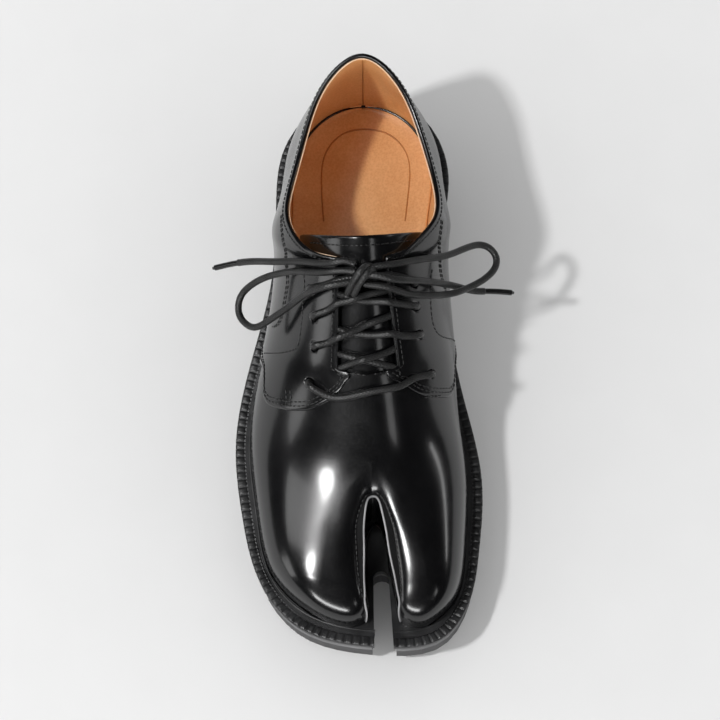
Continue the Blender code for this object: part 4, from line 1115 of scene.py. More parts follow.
    def _collar_stations(self) -> tuple[dict, list]:
        """Station values with those of the two facing tops read from the trimmed ribs, and their points.

        Returns:
            Columns of values by number, and the two points.
        """
        columns = {c: [row[c] for row in STATIONS] for c in (RISE, REACH, HEADING, DIP)}
        medial, ends = ROUND - FACING_TOP, []
        for i in (FACING_TOP, medial):
            q = np.array(float(i))
            start, lower, upper, top = self._shorten(self.crest_ribs(q), self._edge_share(q))
            over = unit(upper - top)
            upright = math.cos(math.radians(STATIONS[i][LEAN]))
            columns[RISE][i] = float((lower - start)[2] / (top - start)[2] / upright)
            columns[REACH][i] = float(np.linalg.norm(upper - top) / np.dot(start - top, over))
            columns[HEADING][i] = math.degrees(math.atan2(over[1], over[0])) % 360.0
            columns[DIP][i] = math.degrees(-math.asin(over[2]))
            ends.append(top)
        if columns[HEADING][medial] < 180.0:
            columns[HEADING][medial] += 360.0
        return columns, ends

    def _down_sides(self, lateral: Sequence[float], medial: Sequence[float], q: Array) -> Array:
        """Values at the four stations of each side of the collar, read at any place.

        Args:
            lateral: values from the heel to the facing's top.
            medial: values from the facing's top to the heel.
            q: stations.

        Returns:
            The values there.
        """
        first = ROUND - FACING_TOP
        left = steady_curve(range(FACING_TOP + 1), lateral, np.clip(q, 0, FACING_TOP))
        right = steady_curve(range(first, ROUND + 1), medial, np.clip(q, first, ROUND))
        return np.where(q < CROTCH, left, right)

    def _collar_ribs(self, q: Array) -> tuple:
        """Ribs that end at the collar.

        Args:
            q: stations.

        Returns:
            Four control points of each rib.
        """
        def column(c: int, turn: float = 0.0) -> Array:
            """Column of the table read at q; turn is added where it comes round to the heel again."""
            values = self._collar_values[c]
            return self._down_sides(values[:FACING_TOP + 1], values[-FACING_TOP:] + [values[0] + turn], q)

        curve = self._collar_curve
        knots = np.interp(self.collar_rows, np.arange(len(curve.rows)), curve.knots)
        lateral, medial = np.split(knots, 2)
        heading, dip = np.radians(column(HEADING, 360.0)), np.radians(column(DIP))
        over = np.stack([np.cos(heading) * np.cos(dip), np.sin(heading) * np.cos(dip), -np.sin(dip)], axis=-1)
        top = curve.at(self._down_sides(lateral, medial, q))
        return self._handles(q, top, over, column(RISE), column(REACH))

    def surface(self, q: Array | float, t: Array | float) -> Array:
        """Outer face of the vamp, read between the stored ribs and shifts.

        Args:
            q: stations.
            t: heights, 0 at the welt and 1 at the top edge or crest.

        Returns:
            Points.
        """
        q, t = np.broadcast_arrays(np.asarray(q, float), np.asarray(t, float))
        f = np.mod(q, ROUND) * self.fineness
        i = np.minimum(f.astype(int), ROUND * self.fineness - 1)
        share = (f - i)[..., None]
        g = np.clip(t, 0.0, 1.0) * (self.shift_rows - 1)
        k = np.minimum(g.astype(int), self.shift_rows - 2)
        up = (g - k)[..., None]
        low, high = (self._shift[i, j] * (1 - share) + self._shift[i + 1, j] * share for j in (k, k + 1))
        rib = [c[i] * (1 - share) + c[i + 1] * share for c in self._ribs]
        return bezier(rib, t) + low * (1 - up) + high * up

    def normal(self, q: Array | float, t: Array | float) -> Array:
        """Outward unit normal of that face, from differences along and up it.

        Args:
            q: stations.
            t: heights.

        Returns:
            Unit normals.
        """
        q, t = np.broadcast_arrays(np.asarray(q, float), np.asarray(t, float))
        near, rise = 0.02, 0.01
        dq = self.surface(q + near, t) - self.surface(q - near, t)
        dt = self.surface(q, np.minimum(t + rise, 1.0)) - self.surface(q, np.maximum(t - rise, 0.0))
        return unit(np.cross(dq, dt))

    def instep_sheet(self, share: Array, across: Array, edge: float) -> tuple[Array, Array]:
        """Surface of the instep with the throat closed.

        Args:
            share: way down the instep, past 1 under the vamp.
            across: -1 at the lateral edge to 1 at the medial edge.
            edge: height on the rib of those edges.

        Returns:
            Points and unit normals.
        """
        share, across = np.broadcast_arrays(share, across)
        height = 1.0 - (1.0 - edge) * np.abs(across)
        near, rise = 0.02, 0.01
        places = np.linspace(FACING_TOP - 1.0, POLE, 2001)
        place = np.interp(share, self._on_chain(places), places)
        q = np.where(across < 0, place, ROUND - place)
        points = bezier(self.crest_ribs(q), height)
        dq = bezier(self.crest_ribs(q + near), height) - bezier(self.crest_ribs(q - near), height)
        normal = unit(np.cross(dq, points - bezier(self.crest_ribs(q), height - rise)))
        return points, normal


@dataclass
class Upper:
    """Vamp, quarters and lining, cut from the last's surface."""

    last: Last
    leather: float = 1.2              # one layer
    lining: float = 0.6
    step: float = 1.2                 # the quarters stand this much proud of the vamp
    rows: int = 64
    eyelet_radius: float = 2.1
    tuck: float = 0.12                # stations by which the vamp runs under a quarter
    sink: float = 2.5                 # its foot goes down this far behind the welt
    overlap: float = 0.8              # the quarters reach this far below the vamp's face
    lining_depth: float = 0.85        # the lining's face lies this far below the vamp's
    lip: float = 2.4                  # most that the lip reaches into the cleft
    lip_start: float = 8.7            # radius of the cord along the cleft, which is painted pale grey as a painted highlight
    lobe_corner: float = 8.53         # station of that corner
    cord: float = 0.45                # radius of the pale cord
    # front edge of a quarter: height and station, down each side from the throat
    lateral_edge: tuple = (
        (0.000, 3.95), (0.179, 4.40), (0.321, 4.938), (0.375, 5.475), (0.438, 5.538), (0.558, 5.55),
        (0.679, 5.525), (0.783, 5.425), (0.871, 5.263), (1.0, 4.30))
    medial_edge: tuple = (
        (0.000, 3.90), (0.179, 4.30), (0.321, 4.90), (0.371, 5.425), (0.429, 5.488), (0.55, 5.462),
        (0.675, 5.40), (0.775, 5.275), (0.871, 5.075), (1.0, 4.30))
    # eyelets from the top pair down: station and height, lateral then medial
    eyelets: tuple = ((3.25, 0.80, 3.225, 0.812), (3.463, 0.825, 3.412, 0.812), (3.713, 0.833, 3.637, 0.804),
                      (5.163, 0.713, 5.087, 0.629))

    def edge(self, t: Array, lateral: bool) -> Array:
        """Station of a quarter's front edge at a height."""
        return steady_curve(*zip(*(self.lateral_edge if lateral else self.medial_edge)), t)

    def eyelet_frames(self) -> tuple[Array, Array]:
        """Find the eyelets on the vamp's level.

        Returns:
            Middles and normals by row and side, lateral first.
        """
        q = np.array([[row[0], -row[2]] for row in self.eyelets])
        t = np.array([[row[1], row[3]] for row in self.eyelets])
        return self.last.surface(q, t), self.last.normal(q, t)

    def build(self) -> None:
        """Make the three layers, then the seams and the cleft's lip."""
        self._vamp()
        self._quarters()
        self._lining()
        self._back_seams()
        self._cleft_seam()

    def _vamp(self) -> None:
        """Vamp with both toe lobes: columns run from under one quarter round the toe to the other.

        Columns on the two sides of a crest stand at equal shares along it, so their tops meet and are welded.
        """
        t = np.linspace(0.0, 1.0, self.rows)
        sides = []
        for lateral in (True, False):
            near = self.edge(t, lateral) - self.tuck
            throat = (THROAT - near[-1]) / (FORK - near[-1])
            share = np.concatenate([np.linspace(0.0, throat, 45)[:-1], np.linspace(throat, 1.0, 65)])
            sides.append(near + (FORK - near) * share[:, None])
        outer = FORK + np.arange(1, 81) / 80
        front = POLE + np.arange(1, 60) / 30
        toe = np.concatenate([outer, front, self.last.across_cleft(outer)[::-1], [CROTCH]])
        toe = np.concatenate([toe, ROUND - toe[-2::-1]])
        toe = np.broadcast_to(toe[:, None], (len(toe), len(t)))
        q = np.concatenate([sides[0], toe, ROUND - sides[1][::-1]])
        face = self.last.surface(q, t)
        face = np.concatenate([face[:, :1] - np.array([0.0, 0.0, self.sink]), face], axis=1)
        mesh = mesh_of("vamp", face.reshape(-1, 3), grid_quads(*face.shape[:2]), weld=0.04)
        wall = dressed("vamp", mesh, BOX_LEATHER, node="upper").modifiers.new("wall", "SOLIDIFY")
        wall.thickness = self.leather * MM
        wall.offset = -1.0

    def _quarters(self) -> None:
        """Both quarters as one sheet round the heel, a step above the vamp, with the eyelets punched.

        Columns are upright round the heel; past the station fan they spread to follow the front edge.
        """
        fan, trim, middle, top = 3.6, 0.012, 0.55, 0.985
        t = np.concatenate([np.linspace(0.0, middle, 32)[:-1], np.linspace(middle, top, 58)])
        runs = ((0, 1, 50), (1, 2, 26), (2, 3, 24))
        inner = np.concatenate([np.linspace(*run)[:-1] for run in runs] + [np.linspace(3, fan, 40)])
        share = np.linspace(0.0, 1.0, 84)[1:, None]
        lateral, medial = (fan + (self.edge(t, side) - trim - fan) * share for side in (True, False))
        straight = np.broadcast_to(inner[:, None], (len(inner), len(t)))
        q = np.concatenate([-medial[::-1], -straight[::-1], straight[1:], lateral])
        normal = self.last.normal(q, t)
        face = self.last.surface(q, t) + self.step * normal
        middles, axes = (a.reshape(-1, 3) for a in self.eyelet_frames())
        holes = middles, axes, self.eyelet_radius
        dressed("quarters", slab("quarters", face, normal, self.step + self.overlap, holes=holes), BOX_LEATHER)

    def _lining(self) -> None:
        """Lining inside the collar, with its pale cut edge along the top."""
        top, end = 0.982, 3.03
        t, q = np.linspace(0.0, top, 70), np.linspace(-end, end, 260)[:, None]
        normal = self.last.normal(q, t)
        face = self.last.surface(q, t) - self.lining_depth * normal
        dressed("lining", slab("lining", face, normal, self.lining, rim_slot=1), TAN_LEATHER, CUT_EDGE)

    def _back_seams(self) -> None:
        """Seam down the back of the heel: a low ridge outside and a thin line in the lining."""
        outside, inside, gap = 0.4, 0.3, 0.9
        t = np.linspace(0.04, 0.96, 120)
        point, normal = self.last.surface(0.0, t), self.last.normal(0.0, t)
        bead("heel_seam", point + self.step * normal, outside, BOX_LEATHER)
        bead("lining_seam", point - (gap + self.lining) * normal, inside, PRESSED_LINE)

    def _cleft_seam(self) -> None:
        """Lip of leather along the edge of the cleft, with a cord on its inner edge that is painted pale grey as
        a painted highlight.

        The lip starts where the leather turns down into the cleft and reaches level into it by a sine of the
        station's way from the crotch; at the toe both come down to the corner of the lobe.
        """
        foot, step, line_bell, way_bell = 0.02, 0.5, 1.6, 3.0
        back, raised, tight, cord_out = 0.6, 0.3, 0.2, 0.35
        q = np.linspace(self.lip_start, ROUND - self.lip_start, 980)
        t = self.turn_down(q)
        rise = np.linspace(0.0, 1.0, 120)[:-1]
        toe = self.lobe_corner + (self.lip_start - self.lobe_corner) * rise
        t = np.concatenate([foot + (t[0] - foot) * rise, t, foot + (t[-1] - foot) * rise[::-1]])
        q = np.concatenate([toe, q, ROUND - toe[::-1]])
        point, normal = self.last.surface(q, t), self.last.normal(q, t)
        way = way_along(point)
        even = np.arange(0.0, way[-1], step)
        line = relax(read_at(even, way, point), step, line_bell)
        into = unit(relax(read_at(even, way, normal * LEVEL), step, way_bell))
        up = unit(np.cross(into, np.gradient(line, axis=0)))
        far = np.abs(np.interp(even, way, q) - CROTCH)
        width = self.lip * np.sin(math.pi * np.clip((far - tight) / (CROTCH - POLE_INNER), 0.0, 1.0))
        across = width[:, None] - (back + width[:, None]) * np.linspace(0.0, 1.0, 5)
        face = line[:, None] + across[..., None] * into[:, None] + raised * up[:, None]
        mesh = slab("cleft_lip", face, np.broadcast_to(up[:, None], face.shape), self.leather)
        dressed("cleft_lip", mesh, INKED_EDGE)
        # The cord is painted pale grey: painted highlight along the cleft's edge
        bead("cleft_seam", line + (width + cord_out)[:, None] * into, self.cord, CORD_PAINTED_HIGHLIGHT, around=10)

    def turn_down(self, q: Array) -> Array:
        """Height on a cleft rib where the leather turns from the top down into the cleft.

        Args:
            q: stations in the cleft.

        Returns:
            Heights, smoothed along the cleft.
        """
        steep, reach = 0.55, 30
        t = np.linspace(0.3, 1.0, 141)
        lift = self.last.normal(q[:, None], t)[..., 2]
        return smooth_line(t[np.argmax(lift > steep, axis=1)], reach)


@dataclass
class Tongue:
    """Leather tongue under the facings, from beneath the vamp to above the collar."""

    last: Last
    thickness: float = 1.8
    depth: float = 2.4                # below the instep's surface
    low: float = 1.13                 # its ends as ways down the instep
    high: float = -0.17
    wings: float = 0.07               # how much higher the top stands at the sides
    edge: float = 0.52                # height on the last's ribs of its long edges

    def build(self) -> None:
        """One curved sheet."""
        across = np.linspace(-1.0, 1.0, 121)[:, None]
        top = self.high - self.wings * across ** 2
        share = self.low + (top - self.low) * np.linspace(0.0, 1.0, 100)[None, :]
        points, normal = self.last.instep_sheet(share, across, self.edge)
        mesh = slab("tongue_leather", points - self.depth * normal, normal, self.thickness)
        dressed("tongue_leather", mesh, BOX_LEATHER, node="tongue")


@dataclass
class Sock:
    """Tan sock that covers the insole from wall to wall, with a pressed panel line."""

    last: Last
    sole: SoleShape
    thickness: float = 1.6
    wall: float = 2.2                 # how far inside the foot of the last's face the sheet ends
    rise: float = 0.6                 # above the welt at the middle
    cup: float = 1.4                  # more at the sides
    gap_shade_reach: float = 0.62          # stations each side of the heel along which the painted shade of the gap to the lining runs
    # panel line in plan
    panel: tuple = (
        (-16.0, 66.0), (-17.2, 84.0), (-15.0, 100.0), (-7.0, 108.6), (3.0, 110.4), (12.8, 107.6),
        (20.6, 98.0), (21.6, 82.0), (20.0, 66.0))
    panel_line: float = 0.4           # radius of that line
    gap_shade_radius: float = 0.6            # radius of the black bead that is painted shade in the gap between sock and lining

    def build(self) -> None:
        """Rule the sheet between the two walls, cupped a little at the sides."""
        across = np.linspace(-1.0, 1.0, 81)[:, None]
        heel, front, proud, tuck = 0.02, 5.6, 0.1, 0.5
        q = np.linspace(heel, front, 140)[None, :]
        sides = [self._edge(sign * q, self.wall) for sign in (1, -1)]
        share = (across[..., None] + 1) / 2
        points = sides[0] * (1 - share) + sides[1] * share
        points[..., 2] = self.sole.welt_top(points[..., 1]) + self.rise + self.cup * across ** 4
        normal = unit(np.cross(np.gradient(points, axis=0), -np.gradient(points, axis=1)))
        normal = normal * np.sign(normal[..., 2:])
        mesh = slab("sock", points[:, ::-1], normal[:, ::-1], self.thickness)
        dressed("sock", mesh, TAN_LEATHER, node="insole")
        panel = Spline(self.panel)
        plan = panel.at(np.linspace(0.0, panel.knots[-1], 300))
        line = np.concatenate([plan, (self.sole.welt_top(plan[:, 1]) + self.rise + proud)[:, None]], axis=1)
        bead("sock_panel_line", line, self.panel_line, PRESSED_LINE)
        # A black bead along the sock's back edge: painted shade where the gap between sock and lining lies
        line = self._edge(np.linspace(-self.gap_shade_reach, self.gap_shade_reach, 160), self.wall - tuck)
        line[:, 2] += self.rise + self.cup
        bead("sock_back_painted_shade", line, self.gap_shade_radius, BOX_LEATHER)

    def _edge(self, q: Array, inside: float) -> Array:
        """Points on the welt a little inside the foot of the last's face.

        Args:
            q: stations.
            inside: distance in plan from the face.

        Returns:
            The points.
        """
        return self.last.surface(q, 0.0) - inside * unit(self.last.normal(q, 0.0) * LEVEL)


@dataclass
class Stitching:
    """Rows of stitches on the upper: short capsules, each lying along its row and half sunk in the leather."""

    upper: Upper
    tongue: Tongue
    pitch: float = 2.3
    length: float = 1.75
    width: float = 0.6
    proud: float = 0.08               # middle of a stitch above the leather
    edge_insets: tuple = (1.7, 3.6)   # distance of the rows from the edge they follow
    facing_inset: float = 2.6
    collar_inset: float = 2.8
    throat_inset: float = 1.8
    cleft_inset: float = 2.2
    twin: float = 0.022               # share of a rib between twin rows, and between those of a bar tack
    tack_twin: float = -0.03
    # rows by station and height: lateral side, then medial side with its stations counted the other way
    counter: tuple = (
        (1.838, 0.942), (2.062, 0.912), (2.312, 0.846), (2.562, 0.755), (2.83, 0.64), (3.05, 0.598),
        (3.225, 0.579), (3.325, 0.562), (3.438, 0.542), (3.54, 0.521), (3.61, 0.483), (3.65, 0.40))
    eyestay: tuple = (
        (3.10, 0.75), (3.312, 0.738), (3.438, 0.729), (3.575, 0.721), (3.688, 0.713), (3.788, 0.688),
        (3.863, 0.629), (4.0, 0.483), (4.06, 0.3))
    bar_tack: tuple = ((5.325, 0.558), (5.425, 0.565), (5.52, 0.562))
    counter_medial: tuple = (
        (1.9, 0.93), (2.312, 0.80), (2.6, 0.69), (2.9, 0.60), (3.2, 0.537), (3.4, 0.45))
    eyestay_medial: tuple = (
        (3.10, 0.65), (3.275, 0.665), (3.412, 0.675), (3.55, 0.675), (3.637, 0.658), (3.725, 0.608),
        (3.812, 0.50), (3.925, 0.283))
    bar_tack_medial: tuple = ((5.44, 0.642), (5.455, 0.585), (5.462, 0.529))

    def build(self) -> None:
        """Sew every row and gather them in one piece."""
        step = self.upper.step
        t = np.linspace(0.03, 0.985, 300)
        facing, throat = np.linspace(3.06, 4.24, 200), np.linspace(4.42, 5.0, 150)
        rows = []
        for lateral, sign in ((True, 1), (False, -1)):
            q = self.upper.edge(t, lateral)
            length = self._station_length(sign * q, t)
            rows += [(sign * (q - inset / length), t, step) for inset in self.edge_insets]
            rows.append(self._below_top(sign * facing, self.facing_inset, step))
        rows.append(self._below_top(np.linspace(-3.0, 3.0, 500), self.collar_inset, step))
        for shifts, routes in (((0.0, self.twin), (self.counter, self.counter_medial)),
                               ((0.0,), (self.eyestay, self.eyestay_medial)),
                               ((0.0, self.tack_twin), (self.bar_tack, self.bar_tack_medial))):
            for route, sign in zip(routes, (1, -1)):
                fine = self._curve(route)
                rows += [(sign * fine[:, 0], fine[:, 1] - shift, step) for shift in shifts]
        rows += [self._below_top(sign * throat, self.throat_inset, 0.0) for sign in (1, -1)]
        sewn = [self._row(*row) for row in rows] + [self._tongue_row()]
        for ends in ((8.8, 10.86), (11.14, 13.2)):
            q = np.linspace(*ends, 400)
            sewn.append(self._row(q, self.upper.turn_down(q) + self.cleft_inset / self._rib_length(q), 0.0))
        points, faces = zip(*sewn)
        starts = np.cumsum([0] + [len(p) for p in points[:-1]])
        quads = np.concatenate([f + start for f, start in zip(faces, starts)])
        dressed("stitches", mesh_of("stitches", np.concatenate(points), quads), BLACK_THREAD)

    def _below_top(self, q: Array, inset: float, level: float) -> tuple[Array, Array, float]:
        """Stations, heights and level of a row at an even distance below the top edge."""
        return q, 1.0 - inset / self._rib_length(q), level

    @staticmethod
    def _curve(route: Sequence[Sequence[float]]) -> Array:
        """Draw a row; its heights are stretched for that, so that both numbers count alike.

        Args:
            route: stations and heights it passes.

        Returns:
            Many stations and heights.
        """
        stretch = (1.0, 2.0)
        curve = Spline(np.array(route) * stretch)
        return curve.at(np.linspace(0.0, curve.knots[-1], 400)) / stretch

    def _station_length(self, q: Array, t: Array) -> Array:
        """Millimetres in one station at a place."""
        ends = [self.upper.last.surface(q + side, t) for side in (0.05, -0.05)]
        return np.linalg.norm(ends[0] - ends[1], axis=-1) / 0.1

    def _rib_length(self, q: Array) -> Array:
        """Millimetres that a whole rib would have at the spacing of its top."""
        return np.linalg.norm(self.upper.last.surface(q, 1.0) - self.upper.last.surface(q, 0.9), axis=-1) / 0.1

    def _row(self, q: Array, t: Array, level: float) -> tuple[Array, Array]:
        """Stitches along stations and heights."""
        normal = self.upper.last.normal(q, t)
        return self._sew(self.upper.last.surface(q, t) + (level + self.proud) * normal, normal)

    def _tongue_row(self) -> tuple[Array, Array]:
        """Stitches along the top of the tongue.

        Returns:
            Points and faces.
        """
        inset = 0.065
        across = np.linspace(-0.8, 0.8, 200)
        share = self.tongue.high - self.tongue.wings * across ** 2 + inset
        points, normal = self.upper.last.instep_sheet(share, across, self.tongue.edge)
        return self._sew(points - (self.tongue.depth - self.proud) * normal, normal)

    def _sew(self, line: Array, normal: Array) -> tuple[Array, Array]:
        """Lay capsules along a line.

        One capsule is rings of six points; ring k has radius sin and place cosine of its angle, so it tapers to
        both ends. All of a row are turned into their own frames at once.

        Args:
            line: points of the row.
            normal: unit normals of the leather there.

        Returns:
            Points and faces.
        """
        near = 0.3
        way = way_along(line)
        where = np.arange(self.pitch / 2, way[-1], self.pitch)
        middle = read_at(where, way, line)
        ahead = read_at(where + near, way, line) - middle
        up = unit(read_at(where, way, normal))
        ahead = unit(ahead - np.sum(ahead * up, axis=-1, keepdims=True) * up)
        side = np.cross(up, ahead)
        angle = np.radians([8.0, 40.0, 90.0, 140.0, 172.0])
        turn = np.arange(6) * math.pi / 3
        along = np.repeat(-np.cos(angle), 6) * self.length / 2
        size = np.repeat(np.sqrt(np.sin(angle)), 6) * self.width / 2
        shape = np.stack([along, size * np.tile(np.cos(turn), 5), size * np.tile(np.sin(turn), 5)], axis=-1)
        points = (middle[:, None] + shape[None, :, :1] * ahead[:, None] + shape[None, :, 1:2] * side[:, None]
                  + shape[None, :, 2:] * up[:, None])
        index = np.arange(30).reshape(5, 6)
        nxt = np.roll(index, -1, axis=1)
        body = np.stack([index[:-1], nxt[:-1], nxt[1:], index[1:]], axis=-1).reshape(-1, 4)
        ends = np.array([[3, 2, 1, 0], [5, 4, 3, 0], [24, 25, 26, 27], [24, 27, 28, 29]])
        faces = np.concatenate([body, ends])
        return points.reshape(-1, 3), (faces[None] + 30 * np.arange(len(where))[:, None, None]).reshape(-1, 4)


@dataclass
class Welt:
    """Ribbed storm welt: a profile carried round the outline, with ribs across its outer band."""

    sole: SoleShape
    ledge: float = 1.1                # the ribbed band lies this far below the inner strip
    rib_pitch: float = 3.6
    rib_height: float = 0.55
    step: float = 0.3                 # spacing of the columns along the outline

    def build(self) -> None:
        """Carry the profile from one side of the toe slot round the heel to the other side.

        Inwards, in shares of the width that shows: side wall, ribbed band to 0.52, beads to 0.72, groove to
        0.78, then the smooth raised strip. Ribs are flattened cosines along the outline, and beads have half
        their pitch.
        """
        knots = np.arange(0.0, self.sole.curve.knots[-1], self.step)
        plan = self.sole.curve.at(knots)
        slot = np.array(self.sole.slot)
        middle, half = (np.interp(plan[:, 1], slot[:, 0], column) for column in slot[:, 1:].T)
        open_slot = (plan[:, 1] < -100) & (np.abs(plan[:, 0] - middle) < half)
        start = int(np.flatnonzero(open_slot)[-1]) + 1
        keep = np.roll(np.arange(len(knots)), -start)[:len(knots) - int(open_slot.sum())]
        plan, normal = plan[keep], self.sole.curve.outward(knots[keep])
        way = np.arange(len(keep)) * self.step
        width = (plan[:, 2] - 0.2)[:, None]
        wall = np.array([(0.0, -2.3), (-0.05, -1.2), (0.0, -0.45), (0.12, -0.15), (0.4, 0.0)])
        rib = np.array([0.15, 0.35, 0.55, 0.75, 0.9, 1.0])
        dot = np.array([0.05, 0.25, 0.5, 0.75, 0.95])
        strip = np.array([0.0, 0.12, 0.3, 0.5, 0.7, 0.88, 1.0])
        hem = wall[-1, 0]
        across = np.concatenate([np.broadcast_to(wall[:, 0], (len(keep), len(wall))),
                                 hem + (0.52 * width - hem) * rib, width * (0.54 + 0.18 * dot),
                                 width * np.array([0.745, 0.775]),
                                 width * (0.79 + 0.21 * strip)], axis=1)
        flat = np.concatenate([wall[:, 1], np.zeros(len(rib) + len(dot)), [-0.35, -0.3],
                               [0.5, 0.95, 1.12, 1.16, 1.12, 0.95, 0.4]])
        height = np.broadcast_to(flat, across.shape).copy()
        ridge = (0.5 + 0.5 * np.tanh(3.2 * np.cos(2 * math.pi * way / self.rib_pitch) + 1.9))[:, None]
        bead = (0.5 - 0.5 * np.cos(4 * math.pi * way / self.rib_pitch))[:, None]
        height[:, 2:5] += self.rib_height * 0.5 * ridge * np.array([0.3, 0.6, 1.0])
        height[:, 5:11] += self.rib_height * ridge * np.sqrt(np.sin(math.pi * (0.12 + 0.82 * rib)))
        height[:, 11:16] += 0.45 * bead * np.sin(math.pi * dot)
        spot = plan[:, None, :2] - across[..., None] * normal[:, None]
        z = self.sole.welt_top(spot[..., 1]) - self.ledge + height + 0.03
        points = np.concatenate([spot, z[..., None]], axis=-1)
        mesh = mesh_of("welt_ribs", points.reshape(-1, 3), grid_quads(*points.shape[:2]))
        dressed("welt_ribs", mesh, BLACK_RUBBER)


@dataclass
class Sole:
    """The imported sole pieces, given their finishes."""

    # The outsole and midsole finishes paint the light that their black rubber sides catch: painted reflection
    # and painted highlight
    finishes: dict = field(default_factory=lambda: {
        "outsole": OUTSOLE_PAINTED_REFLECTION, "heel": BLACK_RUBBER, "midsole": MIDSOLE_PAINTED_HIGHLIGHT, "welt": BLACK_RUBBER})

    def dress(self, nodes: dict) -> None:
        """Put each finish on its node.

        Args:
            nodes: packed objects by node name.
        """
        for name, finish in self.finishes.items():
            slots = nodes[name].data.materials
            slots.clear()
            slots.append(finish.material())


@dataclass
class Lace:
    """Round braided lace: bar, crossings and ties through the eyelets, then the bow."""

    upper: Upper
    radius: float = LACE_RADIUS
    round_steps: int = 24
    step: float = 0.4
    braid: float = 0.07               # height of the strands as a share of the radius
    bar: tuple = ((-16.2, -26.8, 66.6), (-10.1, -29.4, 66.0), (0.3, -29.2, 68.3), (10.2, -27.2, 69.0),
                  (20.4, -24.2, 67.6), (26.2, -20.2, 65.8))
    # strands from an eyelet (row, side) over the facing to under the other facing, then its next eyelet
    strands: tuple = (
        ((2, 0), ((-12.4, -8.4, 76.4), (-7.8, -7.5, 80.0), (-2.4, -5.1, 79.8),
                 (2.7, -2.7, 80.4), (12.4, 1.5, 80.4)), (1, 1)),
        ((2, 1), ((19.9, -5.6, 77.8), (16.2, -5.7, 80.2), (11.2, -5.9, 79.8),
                 (2.4, -5.3, 78.6), (-4.6, -3.8, 78.0)), (1, 0)),
        ((1, 0), ((-12.9, 3.9, 82.6), (-8.0, 5.8, 86.2), (-2.4, 7.3, 86.2),
                 (1.8, 8.8, 86.6), (10.8, 11.2, 86.4)), (0, 1)),
        ((1, 1), ((18.6, 6.7, 84.1), (14.9, 6.4, 86.6), (10.2, 6.9, 86.0),
                 (1.9, 7.4, 85.6), (-4.0, 9.4, 85.6)), (0, 0)),
    )
    hidden: tuple = (
        ((3, 0), ((-4.6, -16.9, 70.8), (4.1, -14.9, 73.7), (14.2, -11.2, 73.2)), (2, 1)),
        ((3, 1), ((14.0, -16.7, 70.4), (4.6, -15.3, 73.3), (-4.2, -13.1, 73.2)), (2, 0)),
    )
    ties: tuple = (
        ((0, 0), ((-13.9, 14.0, 87.0), (-8.8, 14.2, 91.0), (-5.0, 15.0, 91.8), (2.0, 15.6, 92.2))),
        ((0, 1), ((17.7, 16.9, 90.2), (13.5, 16.6, 92.2), (9.4, 16.5, 91.6), (2.4, 15.6, 91.6))),
    )
    loops: dict = field(default_factory=lambda: {
        "lateral": (
            (0.2, 17.2, 94.6), (-5.6, 18.0, 94.2), (-12.7, 18.1, 91.6), (-21.6, 21.4, 84.2),
            (-28.2, 24.0, 77.5), (-35.0, 25.7, 70.0), (-41.9, 26.0, 63.0), (-47.5, 24.7, 57.0),
            (-51.1, 22.1, 53.0), (-52.1, 18.7, 51.0), (-51.5, 13.6, 50.5), (-48.4, 9.4, 52.0),
            (-44.9, 6.6, 54.5), (-41.3, 6.7, 58.0), (-35.0, 8.6, 64.5), (-28.2, 10.8, 71.5),
            (-21.7, 11.8, 81.8), (-14.7, 11.2, 91.0), (-8.4, 11.8, 93.8), (-4.8, 12.4, 93.8),
            (0.6, 13.4, 93.4)),
        "medial": (
            (3.4, 18.4, 94.0), (8.6, 19.8, 94.2), (12.4, 20.4, 94.0), (18.8, 22.0, 92.4), (25.4, 25.3, 87.5),
            (32.0, 28.8, 81.0), (39.2, 33.1, 73.5), (43.5, 36.6, 69.0), (50.7, 42.4, 61.8),
            (54.3, 43.8, 59.2), (57.6, 42.9, 57.5), (60.0, 40.5, 56.4), (60.9, 37.2, 55.9),
            (60.0, 33.9, 56.1), (57.2, 30.0, 57.4), (53.4, 26.0, 60.2), (48.2, 21.6, 64.4),
            (43.5, 18.1, 68.0), (36.8, 15.3, 72.0), (29.9, 13.0, 78.0), (23.0, 11.2, 83.6),
            (16.4, 11.4, 89.4), (12.4, 12.0, 91.4), (8.8, 12.2, 91.4), (3.8, 12.8, 92.0))})
    ends: dict = field(default_factory=lambda: {
        "lateral": (
            (0.2, 20.4, 95.6), (-5.0, 21.6, 96.2), (-9.2, 21.4, 94.8), (-17.2, 23.3, 89.6),
            (-23.6, 25.9, 84.6), (-34.9, 29.8, 74.5), (-48.5, 34.6, 62.0), (-63.3, 35.9, 51.0)),
        "medial": (
            (3.6, 15.8, 94.8), (8.6, 15.2, 95.6), (16.5, 13.9, 94.6), (25.4, 15.9, 88.0), (34.4, 19.4, 76.5),
            (43.5, 22.2, 64.0), (50.7, 23.4, 56.0), (57.5, 24.7, 52.0), (67.8, 26.1, 46.5))})
    knot: tuple = (
        ((-3.2, 9.6, 88.6), (-1.4, 11.8, 93.2), (1.6, 15.2, 97.4), (4.6, 18.6, 97.0), (6.4, 21.0, 91.6)),
        ((-0.6, 8.8, 88.8), (1.2, 11.0, 93.0), (3.9, 14.0, 96.6), (6.8, 17.4, 96.2), (8.4, 19.4, 91.2)),
    )
    deep: float = 2.6                 # below the vamp's face where a strand starts up through its eyelet
    clear: float = 2.7                # height at which it leaves the rim, and of one strand over another
    under: float = 3.0                # below the face where it arrives beneath the facing
    hump: float = 4.2                 # width of the bell by which a strand passes over another
    slack: float = 2.5                # bell that rounds off the loops
    tip_length: float = 14.0
    tip_radius: float = 1.25

